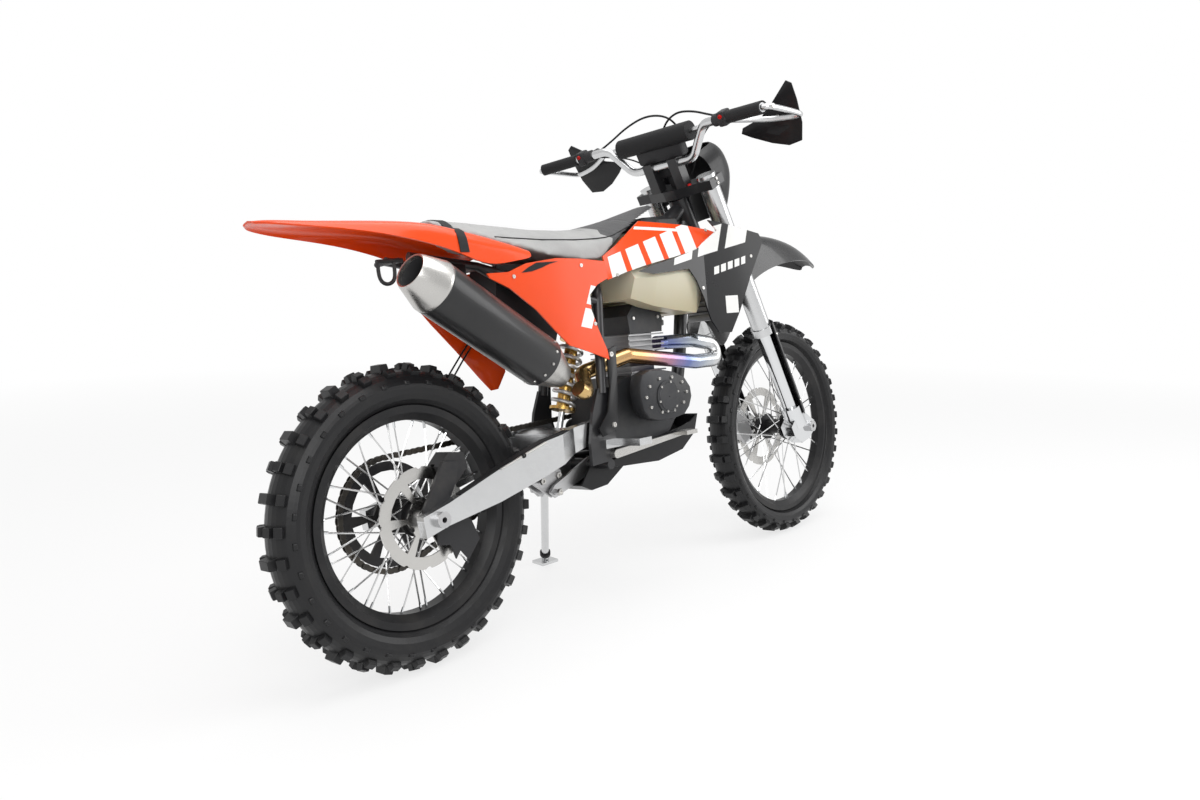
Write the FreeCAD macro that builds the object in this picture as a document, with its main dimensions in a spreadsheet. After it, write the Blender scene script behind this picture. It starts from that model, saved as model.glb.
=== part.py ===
import FreeCAD, Part

import math
import os

import Sketcher
from FreeCAD import Placement, Rotation, Vector

# Trail motorcycle, about 2.1 m long, leaning on its side stand.
# Millimetres. The motorcycle is drawn upright: X forward, Y to its left, Z up,
# with the origin on the ground below the rear axle. It is then leaned over onto
# the stand and moved so that the middle of its footprint is the origin.

# Driving sizes

SIZES = {
    # Layout of the whole machine
    "wheelbase": 1468,
    "rear_tyre_radius": 335,
    "front_tyre_radius": 347,
    "rake_deg": 26.5,
    "axle_offset": 57,
    "lean_deg": 7,
    "fit": 0.3,
    "overrun": 5,
    # Tyres
    "tyre_crown_radius": 60,
    "rear_tyre_half_width": 52,
    "rear_bead_radius": 235,
    "front_tyre_half_width": 42,
    "front_bead_radius": 272,
    # Rims, hubs and spokes
    "rim_depth": 26,
    "rim_wall": 5,
    "rim_flange": 6,
    "rim_floor_share": 0.5,
    "rear_rim_half_width": 33,
    "front_rim_half_width": 25,
    "hub_core_radius": 24,
    "hub_flange_radius": 42,
    "hub_flange_width": 7,
    "hub_flange_place": 32,
    "spoke_radius": 2,
    "spoke_count": 36,
    "spoke_rim_spread": 5,
    "spoke_lacing_deg": 52,
    "axle_radius": 10,
    "axle_bore_radius": 6,
    "axle_nut_radius": 17,
    "axle_nut_length": 14,
    "axle_spacer_wall": 5,
    "axle_running_gap": 1,
    # Discs and sprockets
    "rear_disc_radius": 110,
    "front_disc_radius": 130,
    "disc_ring": 26,
    "disc_thickness": 4,
    "disc_place": 62,
    "disc_spider_radius": 36,
    "disc_arm_width": 7,
    "disc_arms": 6,
    "disc_window_deg": 46,
    "disc_scallop": 9,
    "disc_bore_share": 1.6,
    "sprocket_ring": 20,
    "chain_place": 66,
    "chain_pitch": 15.875,
    "chain_half_width": 8,
    "chain_half_height": 7.5,
    "rear_teeth": 50,
    "front_teeth": 13,
    "sprocket_thickness": 6,
    "front_sprocket_x": 590,
    "front_sprocket_z": 452,
    # Swingarm
    "pivot_x": 505,
    "pivot_z": 455,
    "pivot_boss_radius": 27,
    "arm_outer": 122,
    "arm_inner": 97,
    "arm_front_outer": 98,
    "arm_front_inner": 72,
    "arm_tail": 42,
    "arm_brace_front": 432,
    "arm_brace_rear": 372,
    # Frame
    "head_low": 702,
    "head_high": 843,
    "head_tube_radius": 30,
    "stem_radius": 16,
    "backbone_radius": 22,
    "down_tube_radius": 19,
    "cradle_radius": 13,
    "cradle_place": 78,
    "cradle_z": 372,
    "plate_inner": 103,
    "plate_thickness": 9,
    "subframe_radius": 10,
    "subframe_place": 62,
    # Fork and clamps, along the steering axis
    "leg_place": 105,
    "leg_offset": 22,
    "leg_inner_radius": 24,
    "leg_outer_radius": 29,
    "leg_seal": 364,
    "leg_top": 887,
    "lug_half_width": 20,
    "lug_height": 42,
    "lug_neck": 100,
    "leg_inner_top": 620,
    "guard_inner_radius": 36,
    "guard_neck_share": 0.93,
    "lug_neck_low": 28,
    "guard_low": 66,
    "guard_high": 392,
    "collar_height": 24,
    "collar_radius": 33,
    "clamp_thickness": 28,
    "clamp_reach": 137,
    "lower_clamp": 670,
    "upper_clamp": 862,
    # Handlebar
    "bar_radius": 12,
    "bar_half_width": 405,
    "grip_radius": 17,
    "grip_length": 125,
    "bar_mid_along": -10,
    "bar_mid_up": 948,
    "bar_bend_along": -6,
    "bar_rise_place": 112,
    "bar_bend_place": 178,
    "bar_bend_up": 1032,
    "bar_end_along": -62,
    "bar_end_up": 1041,
    "cross_along": -4,
    "cross_place": 158,
    "cross_up": 1024,
    "riser_place": 46,
    "riser_width": 16,
    "perch_radius": 17,
    "lever_gap": 62,
    "lever_radius": 5,
    "guard_bar_radius": 8,
    "guard_along": 86,
    "guard_up": 966,
    "guard_mid_place": 330,
    "guard_end_along": 36,
    "guard_end_place": 235,
    "guard_end_up": 1012,
    "shield_inner_place": 205,
    "shield_drop": 52,
    "shield_height": 150,
    "bar_pad_half_length": 129,
    "bar_pad_radius": 27,
    # Front fender and number plate, along the steering axis
    "front_fender_rear": -130,
    "front_fender_length": 667,
    "front_fender_low": 366,
    "front_fender_height": 284,
    "front_fender_half_width": 74,
    "fender_mount_rear": 49,
    "fender_mount_length": 33,
    "fender_mount_half_width": 14,
    "mask_rear": 66,
    "strap_low": 812,
    "strap_height": 18,
    "strap_half_width": 5,
    "mask_depth": 168,
    "mask_low": 722,
    "mask_height": 230,
    "mask_half_width": 112,
    # Frame routes in the upright machine
    "spine_front_x": 930,
    "spine_front_z": 972,
    "spine_rear_x": 640,
    "spine_rear_z": 862,
    "side_drop": 66,
    "down_mid_x": 985,
    "down_mid_z": 610,
    "cradle_front_x": 945,
    "cradle_front_z": 470,
    "cradle_bend_x": 770,
    "cradle_rear_x": 600,
    "plate_low": 372,
    "plate_high": 560,
    "plate_width": 104,
    "pivot_bolt_radius": 9,
    "link_front_x": 545,
    "link_front_z": 366,
    "rail_front_x": 559,
    "rail_front_place": 95,
    "rail_front_z": 775,
    "rail_mid_x": 210,
    "rail_mid_z": 868,
    "rail_rear_x": 40,
    "rail_rear_z": 892,
    "rail_brace_x": 548,
    "rail_brace_place": 100,
    "rail_brace_z": 690,
    "arm_depth": 92,
    "chain_channel_z": 456,
    "shock_top_x": 572,
    "shock_top_z": 740,
    "shock_low_x": 440,
    "shock_low_z": 352,
    "shock_eye_radius": 15,
    # Engine
    "crankcase_rear_x": 562,
    "crankcase_front_x": 872,
    "crankcase_low_z": 392,
    "crankcase_high_z": 578,
    "engine_right": 92,
    "engine_left": 46,
    "engine_lug_z": 498,
    "engine_lug_height": 30,
    "cover_rear_x": 624,
    "cover_low_z": 458,
    "cover_length": 206,
    "cover_height": 132,
    "cover_depth": 48,
    "cylinder_rear_x": 690,
    "cylinder_front_x": 832,
    "cylinder_half_width": 74,
    "cylinder_high_z": 690,
    "head_height": 78,
    "fin_count": 8,
    "fin_thickness": 4,
    "fin_core_share": 0.68,
    # Exhaust
    "port_z": 658,
    "header_radius": 20,
    "header_place": 120,
    "header_turn_x": 1015,
    "header_bend": 80,
    "header_front_z": 598,
    "header_rear_x": 645,
    "header_rear_z": 634,
    "header_tuck_x": 515,
    "header_tuck_place": 60,
    "header_tuck_z": 600,
    "can_front_x": 385,
    "can_front_y": -124,
    "can_front_z": 600,
    "can_rear_x": -34,
    "can_rear_y": -150,
    "can_rear_z": 850,
    "can_radius": 60,
    "can_cone": 62,
    "can_share": 0.79,
    "can_mouth_share": 0.55,
    # Side stand
    "stand_x": 533,
    "stand_y": 135,
    "stand_z": 322,
    "stand_boss_radius": 15,
    "stand_boss_half": 12,
    "stand_pin_radius": 6,
    "stand_radius": 11,
    "stand_foot_x": 679,
    "stand_foot_y": 326,
    "stand_foot_thickness": 8,
    "stand_foot_length": 62,
    "stand_foot_width": 46,
    # Seat, tank, airbox and fender
    "seat_rear": 95,
    "seat_length": 790,
    "seat_half_width": 124,
    "seat_low": 870,
    "seat_height": 182,
    "tank_rear": 652,
    "tank_length": 308,
    "tank_half_width": 156,
    "tank_low": 732,
    "tank_height": 278,
    "head_room": 8,
    "airbox_rear": 268,
    "airbox_length": 276,
    "airbox_low": 640,
    "airbox_height": 240,
    "airbox_half_width": 50,
    "fender_rear": -300,
    "fender_length": 620,
    "fender_half_width": 128,
    "fender_low": 840,
    "fender_height": 126,
    # Panels
    "panel_wall": 4,
    "panel_reach": 300,
    "panel_boss_x": 300,
    "panel_boss_radius": 6,
    "side_panel_rear": 180,
    "side_panel_length": 380,
    "side_panel_low": 630,
    "side_panel_height": 260,
    "side_panel_rear_place": 121,
    "side_panel_front_place": 141,
    "tank_panel_rear": 559,
    "tank_panel_length": 441,
    "tank_panel_low": 826,
    "tank_panel_height": 155,
    "tank_panel_place": 160,
    "shroud_rear": 650,
    "shroud_length": 490,
    "shroud_low": 670,
    "shroud_height": 315,
    "shroud_rear_place": 164,
    "shroud_knee_place": 168,
    "shroud_tip_place": 216,
    "skid_rear": 530,
    "skid_length": 388,
    "hump_rear": 478,
    "hump_length": 162,
    "hump_low": 303,
    "hump_height": 80,
    "hump_half_width": 62,
    "skid_low": 340,
    "skid_height": 112,
    "skid_half_width": 102,
    # Suspension
    "shock_rod_radius": 9,
    "shock_eye_half_width": 13,
    "spring_radius": 34,
    "spring_coils": 7,
    "spring_base": 172,
    "link_bolt_radius": 7,
    "link_wall": 7,
    "link_rear_x": 358,
    "link_rear_z": 352,
    "link_low_x": 412,
    "link_low_z": 316,
    "lug_inner": 34,
    "lug_outer": 44,
    # Foot controls and rear brake
    "peg_x": 562,
    "peg_z": 420,
    "peg_width": 46,
    "peg_height": 11,
    "peg_reach": 206,
    "pedal_x": 550,
    "pedal_z": 392,
    "pedal_tip_x": 842,
    "pedal_tip_z": 418,
    "pedal_pad": 30,
    "lever_height": 11,
    "lever_thickness": 8,
    "lever_x": 650,
    "lever_z": 432,
    "lever_tip_x": 778,
    "lever_tip_z": 446,
    "hanger_thickness": 8,
    "caliper_inside": 18,
    "disc_clearance": 5,
}


class Size:
    """A length together with the expression that gives it from the sheet."""

    def __init__(self, value, text):
        self.value = float(value)
        self.text = text

    def __float__(self):
        return self.value

    def __add__(self, other):
        other = as_size(other)
        return Size(self.value + other.value, f"({self.text} + {other.text})")

    def __sub__(self, other):
        other = as_size(other)
        return Size(self.value - other.value, f"({self.text} - {other.text})")

    def __mul__(self, other):
        other = as_size(other)
        return Size(self.value * other.value, f"({self.text} * {other.text})")

    def __truediv__(self, other):
        other = as_size(other)
        return Size(self.value / other.value, f"({self.text} / {other.text})")

    def __neg__(self):
        return Size(-self.value, f"(-1 * {self.text})")

    def __radd__(self, other):
        return as_size(other) + self

    def __rsub__(self, other):
        return as_size(other) - self

    def __rmul__(self, other):
        return as_size(other) * self

    def __rtruediv__(self, other):
        return as_size(other) / self

    def __lt__(self, other):
        return self.value < float(other)


def as_size(number):
    """Returns a Size for a plain number or a Size."""
    if isinstance(number, Size):
        return number
    return Size(number, f"({number:.6g})" if number < 0 else f"{number:.6g}")


def root(size):
    """The square root of a Size."""
    return Size(math.sqrt(size.value), f"sqrt({size.text})")


def sine(degrees):
    """The sine of an angle Size in degrees."""
    return Size(math.sin(math.radians(degrees.value)), f"sin({degrees.text} * 1 deg)")


def cosine(degrees):
    """The cosine of an angle Size in degrees."""
    return Size(math.cos(math.radians(degrees.value)), f"cos({degrees.text} * 1 deg)")


doc = FreeCAD.newDocument("trail_motorcycle")
sheet = doc.addObject("Spreadsheet::Sheet", "sizes")


class Sizes:
    """Writes the driving sizes to the sheet and gives each one back as a Size."""

    def __init__(self, table):
        for row, (name, value) in enumerate(table.items(), 1):
            sheet.set(f"A{row}", name)
            sheet.set(f"B{row}", str(value))
            sheet.setAlias(f"B{row}", name)
            setattr(self, name, Size(value, f"sizes.{name}"))


z = Sizes(SIZES)
doc.recompute()


# Helpers that draw features

def corners(shares, left, low, width, height):
    """Points given as shares of a width and a height, from a low left corner."""
    return [(left + width * u, low + height * v) for u, v in shares]


def box_outline(left, right, low, high):
    """The four corners of a rectangle."""
    return [(left, low), (right, low), (right, high), (left, high)]


def mirrored(points):
    """A closed outline made of points and their mirror images about the first axis of zero."""
    return points + [(-u, v) for u, v in reversed(points)]


def bind(item, name, size):
    """Ties a property to the sheet."""
    if "sizes." in as_size(size).text:
        item.setExpression(name, as_size(size).text)
    elif float(size):
        setattr(item, name, float(size))


def polygon(sketch, points):
    """Adds a closed outline whose corners are tied to the sheet."""
    first = sketch.GeometryCount
    count = len(points)
    places = [Vector(float(u), float(v), 0) for u, v in points]
    sides = [Part.LineSegment(a, b) for a, b in zip(places, places[1:] + places[:1])]
    sketch.addGeometry(sides)
    ties = []
    for k in range(count):
        following = first + (k + 1) % count
        ties.append(Sketcher.Constraint("Coincident", first + k, 2, following, 1))
    start = sketch.ConstraintCount + count
    for k, place in enumerate(places):
        ties.append(Sketcher.Constraint("DistanceX", -1, 1, first + k, 1, place.x))
        ties.append(Sketcher.Constraint("DistanceY", -1, 1, first + k, 1, place.y))
    sketch.addConstraint(ties)
    for k, (u, v) in enumerate(points):
        for step, size in enumerate((u, v)):
            if "sizes." in as_size(size).text:
                sketch.setExpression(f"Constraints[{start + 2 * k + step}]", as_size(size).text)


def circle(sketch, centre, radius):
    """Adds a circle whose centre and radius are tied to the sheet."""
    u, v = centre
    number = sketch.addGeometry(
        Part.Circle(Vector(float(u), float(v), 0), Vector(0, 0, 1), float(radius))
    )
    start = sketch.ConstraintCount
    sketch.addConstraint([
        Sketcher.Constraint("DistanceX", -1, 1, number, 3, float(u)),
        Sketcher.Constraint("DistanceY", -1, 1, number, 3, float(v)),
        Sketcher.Constraint("Radius", number, float(radius)),
    ])
    for step, size in enumerate((u, v, radius)):
        if "sizes." in as_size(size).text:
            sketch.setExpression(f"Constraints[{start + step}]", as_size(size).text)


class Round:
    """A circle in a sketch."""

    def __init__(self, u, v, radius):
        self.centre = (u, v)
        self.radius = radius


class Piece:
    """A body built up from sketches on its own origin planes."""

    def __init__(self, label):
        self.label = label
        self.body = doc.addObject("PartDesign::Body", label)
        self.body.Label = label
        self.body.AllowCompound = True
        self.count = 0

    def datum(self, role):
        """The origin plane or axis with a role such as XZ_Plane or Y_Axis."""
        return next(item for item in self.body.Origin.OriginFeatures if item.Role == role)

    def feature(self, kind, name):
        """A new feature of the body."""
        self.count += 1
        return self.body.newObject(kind, f"{self.label}_{name}_{self.count}")

    def sketch(self, plane, loops, offset=0):
        """A sketch of closed outlines and circles on a plane at an offset along its normal."""
        sketch = self.feature("Sketcher::SketchObject", "sketch")
        sketch.AttachmentSupport = (self.datum(f"{plane}_Plane"), [""])
        sketch.MapMode = "FlatFace"
        bind(sketch, "AttachmentOffset.Base.z", offset)
        for loop in loops:
            if isinstance(loop, Round):
                circle(sketch, loop.centre, loop.radius)
            else:
                polygon(sketch, loop)
        return sketch

    def pad(self, plane, loops, low, high):
        """Adds outlines drawn out from low to high along the third axis."""
        start = -high if plane == "XZ" else low
        profile = self.sketch(plane, loops, start)
        pad = self.feature("PartDesign::Pad", "pad")
        pad.Profile = profile
        bind(pad, "Length", high - low)
        return pad

    def cut(self, plane, loops, low, high):
        """Cuts outlines out from low to high along the third axis."""
        start = -low if plane == "XZ" else high
        profile = self.sketch(plane, loops, start)
        pocket = self.feature("PartDesign::Pocket", "cut")
        pocket.Profile = profile
        pocket.Type = "Length"
        bind(pocket, "Length", high - low)
        return pocket

    def turn(self, plane, outline, axis):
        """Adds an outline turned once round an axis."""
        profile = self.sketch(plane, [outline])
        turn = self.feature("PartDesign::Revolution", "turn")
        turn.Profile = profile
        turn.ReferenceAxis = (self.datum(f"{axis}_Axis"), [""])
        turn.Angle = 360
        return turn

    def loft(self, plane, sections, ruled=True):
        """Adds a loft through sections, each an offset and an outline."""
        sketches = [self.sketch(plane, [outline], offset) for offset, outline in sections]
        loft = self.feature("PartDesign::AdditiveLoft", "loft")
        loft.Profile = sketches[0]
        loft.Sections = sketches[1:]
        loft.Ruled = ruled
        return loft

    def rod(self, start, end, radius):
        """Adds a round rod from one point to another."""
        a, b = spot(start), spot(end)
        rod = self.feature("PartDesign::AdditiveCylinder", "rod")
        bind(rod, "Radius", radius)
        bind(rod, "Height", apart(start, end))
        rod.Placement = Placement(a, Rotation(Vector(0, 0, 1), b - a))
        return rod

    def drill(self, start, end, radius):
        """Cuts a round hole from one point to another."""
        a, b = spot(start), spot(end)
        hole = self.feature("PartDesign::SubtractiveCylinder", "hole")
        bind(hole, "Radius", radius)
        bind(hole, "Height", apart(start, end))
        hole.Placement = Placement(a, Rotation(Vector(0, 0, 1), b - a))
        return hole

    def repeat(self, originals, axis, count):
        """Repeats features round an axis and makes the pattern the tip."""
        pattern = self.feature("PartDesign::PolarPattern", "pattern")
        pattern.Originals = originals
        pattern.Axis = (self.datum(f"{axis}_Axis"), [""])
        pattern.Angle = 360
        bind(pattern, "Occurrences", count)
        self.body.Tip = pattern
        return pattern


def spot(point):
    """A vector for a point of Sizes."""
    return Vector(*[float(value) for value in point])


def apart(start, end):
    """The distance between two points as a Size."""
    squares = [(b - a) * (b - a) for a, b in zip(start, end) if as_size(b - a).value]
    total = squares[0]
    for square in squares[1:]:
        total = total + square
    return root(as_size(total))


def block(label, plane, outlines, low, high):
    """A body that is one outline drawn out."""
    piece = Piece(label)
    piece.pad(plane, outlines, low, high)
    return piece.body


def slim_bar(label, start, end, radius):
    """A slim bar of square section from one point to another."""
    a, b = spot(start), spot(end)
    bar = doc.addObject("Part::Prism", label)
    bar.Polygon = 4
    bind(bar, "Circumradius", radius)
    bind(bar, "Height", apart(start, end))
    bar.Placement = Placement(a, Rotation(Vector(0, 0, 1), b - a))
    return bar


def route_wire(points, bend):
    """A wire of straight runs joined by tangent arcs."""
    places = [spot(point) for point in points]
    edges = []
    last = places[0]
    for before, corner, after in zip(places, places[1:], places[2:]):
        back = (before - corner).normalize()
        ahead = (after - corner).normalize()
        half = back.getAngle(ahead) / 2
        reach = float(bend) / math.tan(half)
        start, end = corner + back * reach, corner + ahead * reach
        middle = corner + (back + ahead).normalize() * (float(bend) / math.sin(half) - float(bend))
        edges.append(Part.LineSegment(last, start).toShape())
        edges.append(Part.Arc(start, middle, end).toShape())
        last = end
    edges.append(Part.LineSegment(last, places[-1]).toShape())
    return Part.Wire(edges)


def tube(label, points, radius, bend):
    """A round bar swept along straight runs and tangent arcs."""
    path = doc.addObject("Part::Feature", f"{label}_path")
    path.Shape = route_wire(points, bend)
    ring = doc.addObject("Part::Circle", f"{label}_ring")
    bind(ring, "Radius", radius)
    start, following = spot(points[0]), spot(points[1])
    ring.Placement = Placement(start, Rotation(Vector(0, 0, 1), following - start))
    sweep = doc.addObject("Part::Sweep", label)
    sweep.Sections = [ring]
    sweep.Spine = (path, [f"Edge{k + 1}" for k in range(len(path.Shape.Edges))])
    sweep.Solid = True
    return sweep


def joined(label, parts):
    """Several objects fused one after another."""
    whole = parts[0]
    for number, part in enumerate(parts[1:], 1):
        fuse = doc.addObject("Part::Fuse", f"{label}_{number}")
        fuse.Base = whole
        fuse.Tool = part
        fuse.Refine = number == len(parts) - 1
        whole = fuse
    return whole


def shared(label, parts):
    """What several objects have in common."""
    common = doc.addObject("Part::MultiCommon", label)
    common.Label = label
    common.Shapes = parts
    common.Refine = True
    return common


def less(label, base, tool):
    """One object with another cut away."""
    cut = doc.addObject("Part::Cut", label)
    cut.Label = label
    cut.Base = base
    cut.Tool = tool
    cut.Refine = True
    return cut


def together(label, parts):
    """Separate solids that share a node."""
    group = doc.addObject("Part::Compound", label)
    group.Label = label
    group.Links = parts
    return group


def placed(item, placement):
    """Moves an object and gives it back."""
    item.Placement = placement
    return item


def flipped(label, source):
    """The mirror image of an object on the other side of the machine."""
    mirror = doc.addObject("Part::Mirroring", label)
    mirror.Label = label
    mirror.Source = source
    mirror.Base = Vector(0, 0, 0)
    mirror.Normal = Vector(0, 1, 0)
    return mirror


# Frames of reference

RAKE = float(z.rake_deg)
REAR_AXLE = Placement(Vector(0, 0, float(z.rear_tyre_radius)), Rotation())
FRONT_AXLE = Placement(Vector(float(z.wheelbase), 0, float(z.front_tyre_radius)), Rotation())
steer_x = z.wheelbase - z.axle_offset * cosine(z.rake_deg)
steer_z = z.front_tyre_radius - z.axle_offset * sine(z.rake_deg)
STEERING = Placement(
    Vector(float(steer_x), 0, float(steer_z)), Rotation(Vector(0, 1, 0), -RAKE)
)
nodes = []


def node(label, item, frame=Placement()):
    """Files a finished sub-part with the frame that it was drawn in."""
    item.Label = label
    nodes.append((label, item, frame))
    return item


def beside(along, up):
    """A place on the steering axis frame turned into the upright machine's own X and Z."""
    x = steer_x + along * cosine(z.rake_deg) - up * sine(z.rake_deg)
    height = steer_z + along * sine(z.rake_deg) + up * cosine(z.rake_deg)
    return x, height


# Wheels

def crown_height(radius, across):
    """How far out the tread reaches at a distance from the middle plane."""
    crown = z.tyre_crown_radius
    return radius - crown + root(crown * crown - across * across)


def wheel_tyre(label, radius, half_width, bead, rim_half_width):
    """A tyre whose outline reaches the tips of its knobs, seated in its rim."""
    tyre = Piece(f"{label}_form")
    crown_shares = (0.15, 0.42, 0.7, 0.92)
    half = [(half_width * u, crown_height(radius, half_width * u)) for u in crown_shares]
    seat = rim_half_width - z.rim_wall
    sidewall_shares = [(1.0, 0.68), (1.0, 0.48), (0.9, 0.28)]
    half += [(half_width * u, bead + (radius - bead) * v) for u, v in sidewall_shares]
    half += [(seat, bead + z.rim_flange + z.fit), (seat, bead)]
    tyre.turn("YZ", half + [(-u, v) for u, v in reversed(half)], "Y")
    return tyre.body


def wheel_rim(label, bead, half_width, left_end, right_end, disc_side):
    """A rim, its laced spokes and its hub, one rigid piece."""
    rim = Piece(f"{label}_form")
    floor = bead - z.rim_depth
    outer = [(half_width, bead + z.rim_flange), (half_width, bead - z.rim_wall * 2)]
    outer += [(half_width * z.rim_floor_share, floor)]
    inner = [(half_width - z.rim_wall, bead), (half_width - z.rim_wall, bead + z.rim_flange)]
    outline = outer + [(-u, v) for u, v in reversed(outer)]
    outline += [(-u, v) for u, v in reversed(inner)] + inner
    rim.turn("YZ", outline, "Y")
    bore = z.axle_radius + z.fit
    place = z.hub_flange_place
    flange = z.hub_flange_width
    hub = [(-right_end, bore), (-right_end, z.disc_spider_radius)]
    hub += [(-place - flange, z.disc_spider_radius), (-place - flange, z.hub_flange_radius)]
    hub += [(-place, z.hub_flange_radius), (-place, z.hub_core_radius)]
    hub += [(place, z.hub_core_radius), (place, z.hub_flange_radius)]
    hub += [(place + flange, z.hub_flange_radius), (place + flange, z.disc_spider_radius)]
    hub += [(left_end, z.disc_spider_radius), (left_end, bore)]
    rim.turn("YZ", hub, "Y")
    parts = [rim.body]
    count = int(z.spoke_count.value)
    lacing = ((1, 1), (1, -1), (-1, 1), (-1, -1))
    hole = z.hub_flange_radius - z.hub_flange_width / 2
    reach = floor + z.rim_wall
    for number in range(count):
        side, way = lacing[number % len(lacing)]
        near = 2 * math.pi * number / count
        far = near + way * math.radians(float(z.spoke_lacing_deg))
        across = side * (place + flange / 2 + way * (flange / 2 - z.spoke_radius))
        start = (hole * math.cos(near), across, hole * math.sin(near))
        end = (reach * math.cos(far), side * z.spoke_rim_spread, reach * math.sin(far))
        parts.append(slim_bar(f"{label}_spoke_{number + 1}", start, end, z.spoke_radius))
    whole = doc.addObject("Part::MultiFuse", f"{label}_whole")
    whole.Shapes = parts
    whole.Refine = False
    return whole


def sector(inner, outer, sweep, middle=90.0):
    """The four corners of a window between two radii."""
    points = []
    for radius, turns in ((inner, (-1, 1)), (outer, (1, 0.33, -0.33, -1))):
        for turn in turns:
            angle = math.radians(middle + turn * sweep / 2)
            points.append((radius * math.cos(angle), radius * math.sin(angle)))
    return points


def brake_disc(label, radius, low, high):
    """A scalloped brake disc with windows between its arms."""
    disc = Piece(f"{label}_form")
    hole = z.axle_radius * z.disc_bore_share
    disc.pad("XZ", [Round(0, 0, radius), Round(0, 0, hole)], low, high)
    inner = z.disc_spider_radius + z.disc_arm_width
    window = disc.cut(
        "XZ", [sector(inner, radius - z.disc_ring, z.disc_window_deg.value)], low, high
    )
    disc.repeat([window], "Y", z.disc_arms)
    notch = disc.cut("XZ", [Round(0, radius + z.disc_scallop / 2, z.disc_scallop)], low, high)
    disc.repeat([notch], "Y", z.disc_arms * 2)
    return disc.body


def axle(label, half_length, spacer_spans):
    """A hollow axle with a nut at each end and the spacers that seat on it."""
    shaft = Piece(f"{label}_form")
    nut = half_length + z.axle_nut_length
    shaft.rod((0, -nut, 0), (0, nut, 0), z.axle_radius)
    for low, high in [(half_length, nut), (-nut, -half_length)]:
        shaft.rod((0, low, 0), (0, high, 0), z.axle_nut_radius)
    for low, high in spacer_spans:
        shaft.rod((0, low, 0), (0, high, 0), z.axle_radius + z.axle_spacer_wall)
    shaft.drill((0, -nut, 0), (0, nut, 0), z.axle_bore_radius)
    return shaft.body


def build_wheels():
    """Both wheels with their discs, sprocket and axles."""
    disc_low = -z.disc_place - z.disc_thickness / 2
    disc_high = -z.disc_place + z.disc_thickness / 2
    sprocket_low = z.chain_place - z.sprocket_thickness / 2
    sprocket_high = z.chain_place + z.sprocket_thickness / 2
    rear_tyre = wheel_tyre(
        "rear_tyre", z.rear_tyre_radius, z.rear_tyre_half_width, z.rear_bead_radius,
        z.rear_rim_half_width,
    )
    node("rear_tyre", rear_tyre, REAR_AXLE)
    rear_rim = wheel_rim(
        "rear_rim", z.rear_bead_radius, z.rear_rim_half_width, sprocket_low, -disc_high, -1
    )
    node("rear_rim", rear_rim, REAR_AXLE)
    node("rear_disc", brake_disc("rear_disc", z.rear_disc_radius, disc_low, disc_high), REAR_AXLE)
    node("rear_sprocket", rear_sprocket(sprocket_low, sprocket_high), REAR_AXLE)
    gap = z.axle_running_gap
    spans = [(sprocket_high + gap, z.arm_inner), (-z.arm_inner, disc_low - gap)]
    node("rear_axle", axle("rear_axle", z.arm_outer, spans), REAR_AXLE)
    front_tyre = wheel_tyre(
        "front_tyre", z.front_tyre_radius, z.front_tyre_half_width, z.front_bead_radius,
        z.front_rim_half_width,
    )
    node("front_tyre", front_tyre, FRONT_AXLE)
    front_end = z.disc_place - z.disc_thickness / 2
    front_rim = wheel_rim(
        "front_rim", z.front_bead_radius, z.front_rim_half_width, front_end, front_end, 1
    )
    node("front_rim", front_rim, FRONT_AXLE)
    front_disc = brake_disc("front_disc", z.front_disc_radius, -disc_high, -disc_low)
    node("front_disc", front_disc, FRONT_AXLE)
    leg_inner = z.leg_place - z.lug_half_width
    spans = [(-disc_low + gap, leg_inner), (-leg_inner, -front_end - gap)]
    node("front_axle", axle("front_axle", z.leg_place + z.lug_half_width, spans), FRONT_AXLE)


def pitch_radius(teeth):
    """The pitch radius of a chain sprocket."""
    half = math.pi / float(teeth)
    return z.chain_pitch / (2 * math.sin(half))


def rear_sprocket(low, high):
    """The rear sprocket, a ring of teeth on five arms."""
    sprocket = Piece("rear_sprocket_form")
    radius = pitch_radius(z.rear_teeth) - z.chain_half_height - z.axle_running_gap
    hole = z.axle_radius * z.disc_bore_share
    sprocket.pad("XZ", [Round(0, 0, radius), Round(0, 0, hole)], low, high)
    inner = z.disc_spider_radius + z.disc_arm_width
    window = sprocket.cut(
        "XZ", [sector(inner, radius - z.sprocket_ring, z.disc_window_deg.value)], low, high
    )
    sprocket.repeat([window], "Y", z.disc_arms)
    return sprocket.body


def chain_loop(radius_change):
    """The closed line round both sprockets at a distance from the pitch line."""
    rear = pitch_radius(z.rear_teeth)
    front = pitch_radius(z.front_teeth)
    run_x = float(z.front_sprocket_x)
    run_z = float(z.front_sprocket_z - z.rear_tyre_radius)
    length = math.hypot(run_x, run_z)
    slope = math.atan2(run_z, run_x)
    lean = math.acos((float(rear) - float(front)) / length)
    points = []
    big, small = rear + radius_change, front + radius_change
    start, sweep = slope + lean, 2 * math.pi - 2 * lean
    for k in range(CHAIN_REAR_STEPS + 1):
        angle = start + sweep * k / CHAIN_REAR_STEPS
        points.append((big * math.cos(angle), z.rear_tyre_radius + big * math.sin(angle)))
    start, sweep = slope - lean, 2 * lean
    for k in range(CHAIN_FRONT_STEPS + 1):
        angle = start + sweep * k / CHAIN_FRONT_STEPS
        points.append((
            z.front_sprocket_x + small * math.cos(angle),
            z.front_sprocket_z + small * math.sin(angle),
        ))
    return points


CHAIN_REAR_STEPS = 24
CHAIN_FRONT_STEPS = 10


# Frame

def down_route():
    """The route of the down tube from the steering head to the cradle."""
    x, height = beside(-z.stem_radius, (z.head_low + z.head_high) / 2)
    return [
        (x, 0, height), (z.down_mid_x, 0, z.down_mid_z), (z.cradle_front_x, 0, z.cradle_front_z)
    ]


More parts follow.
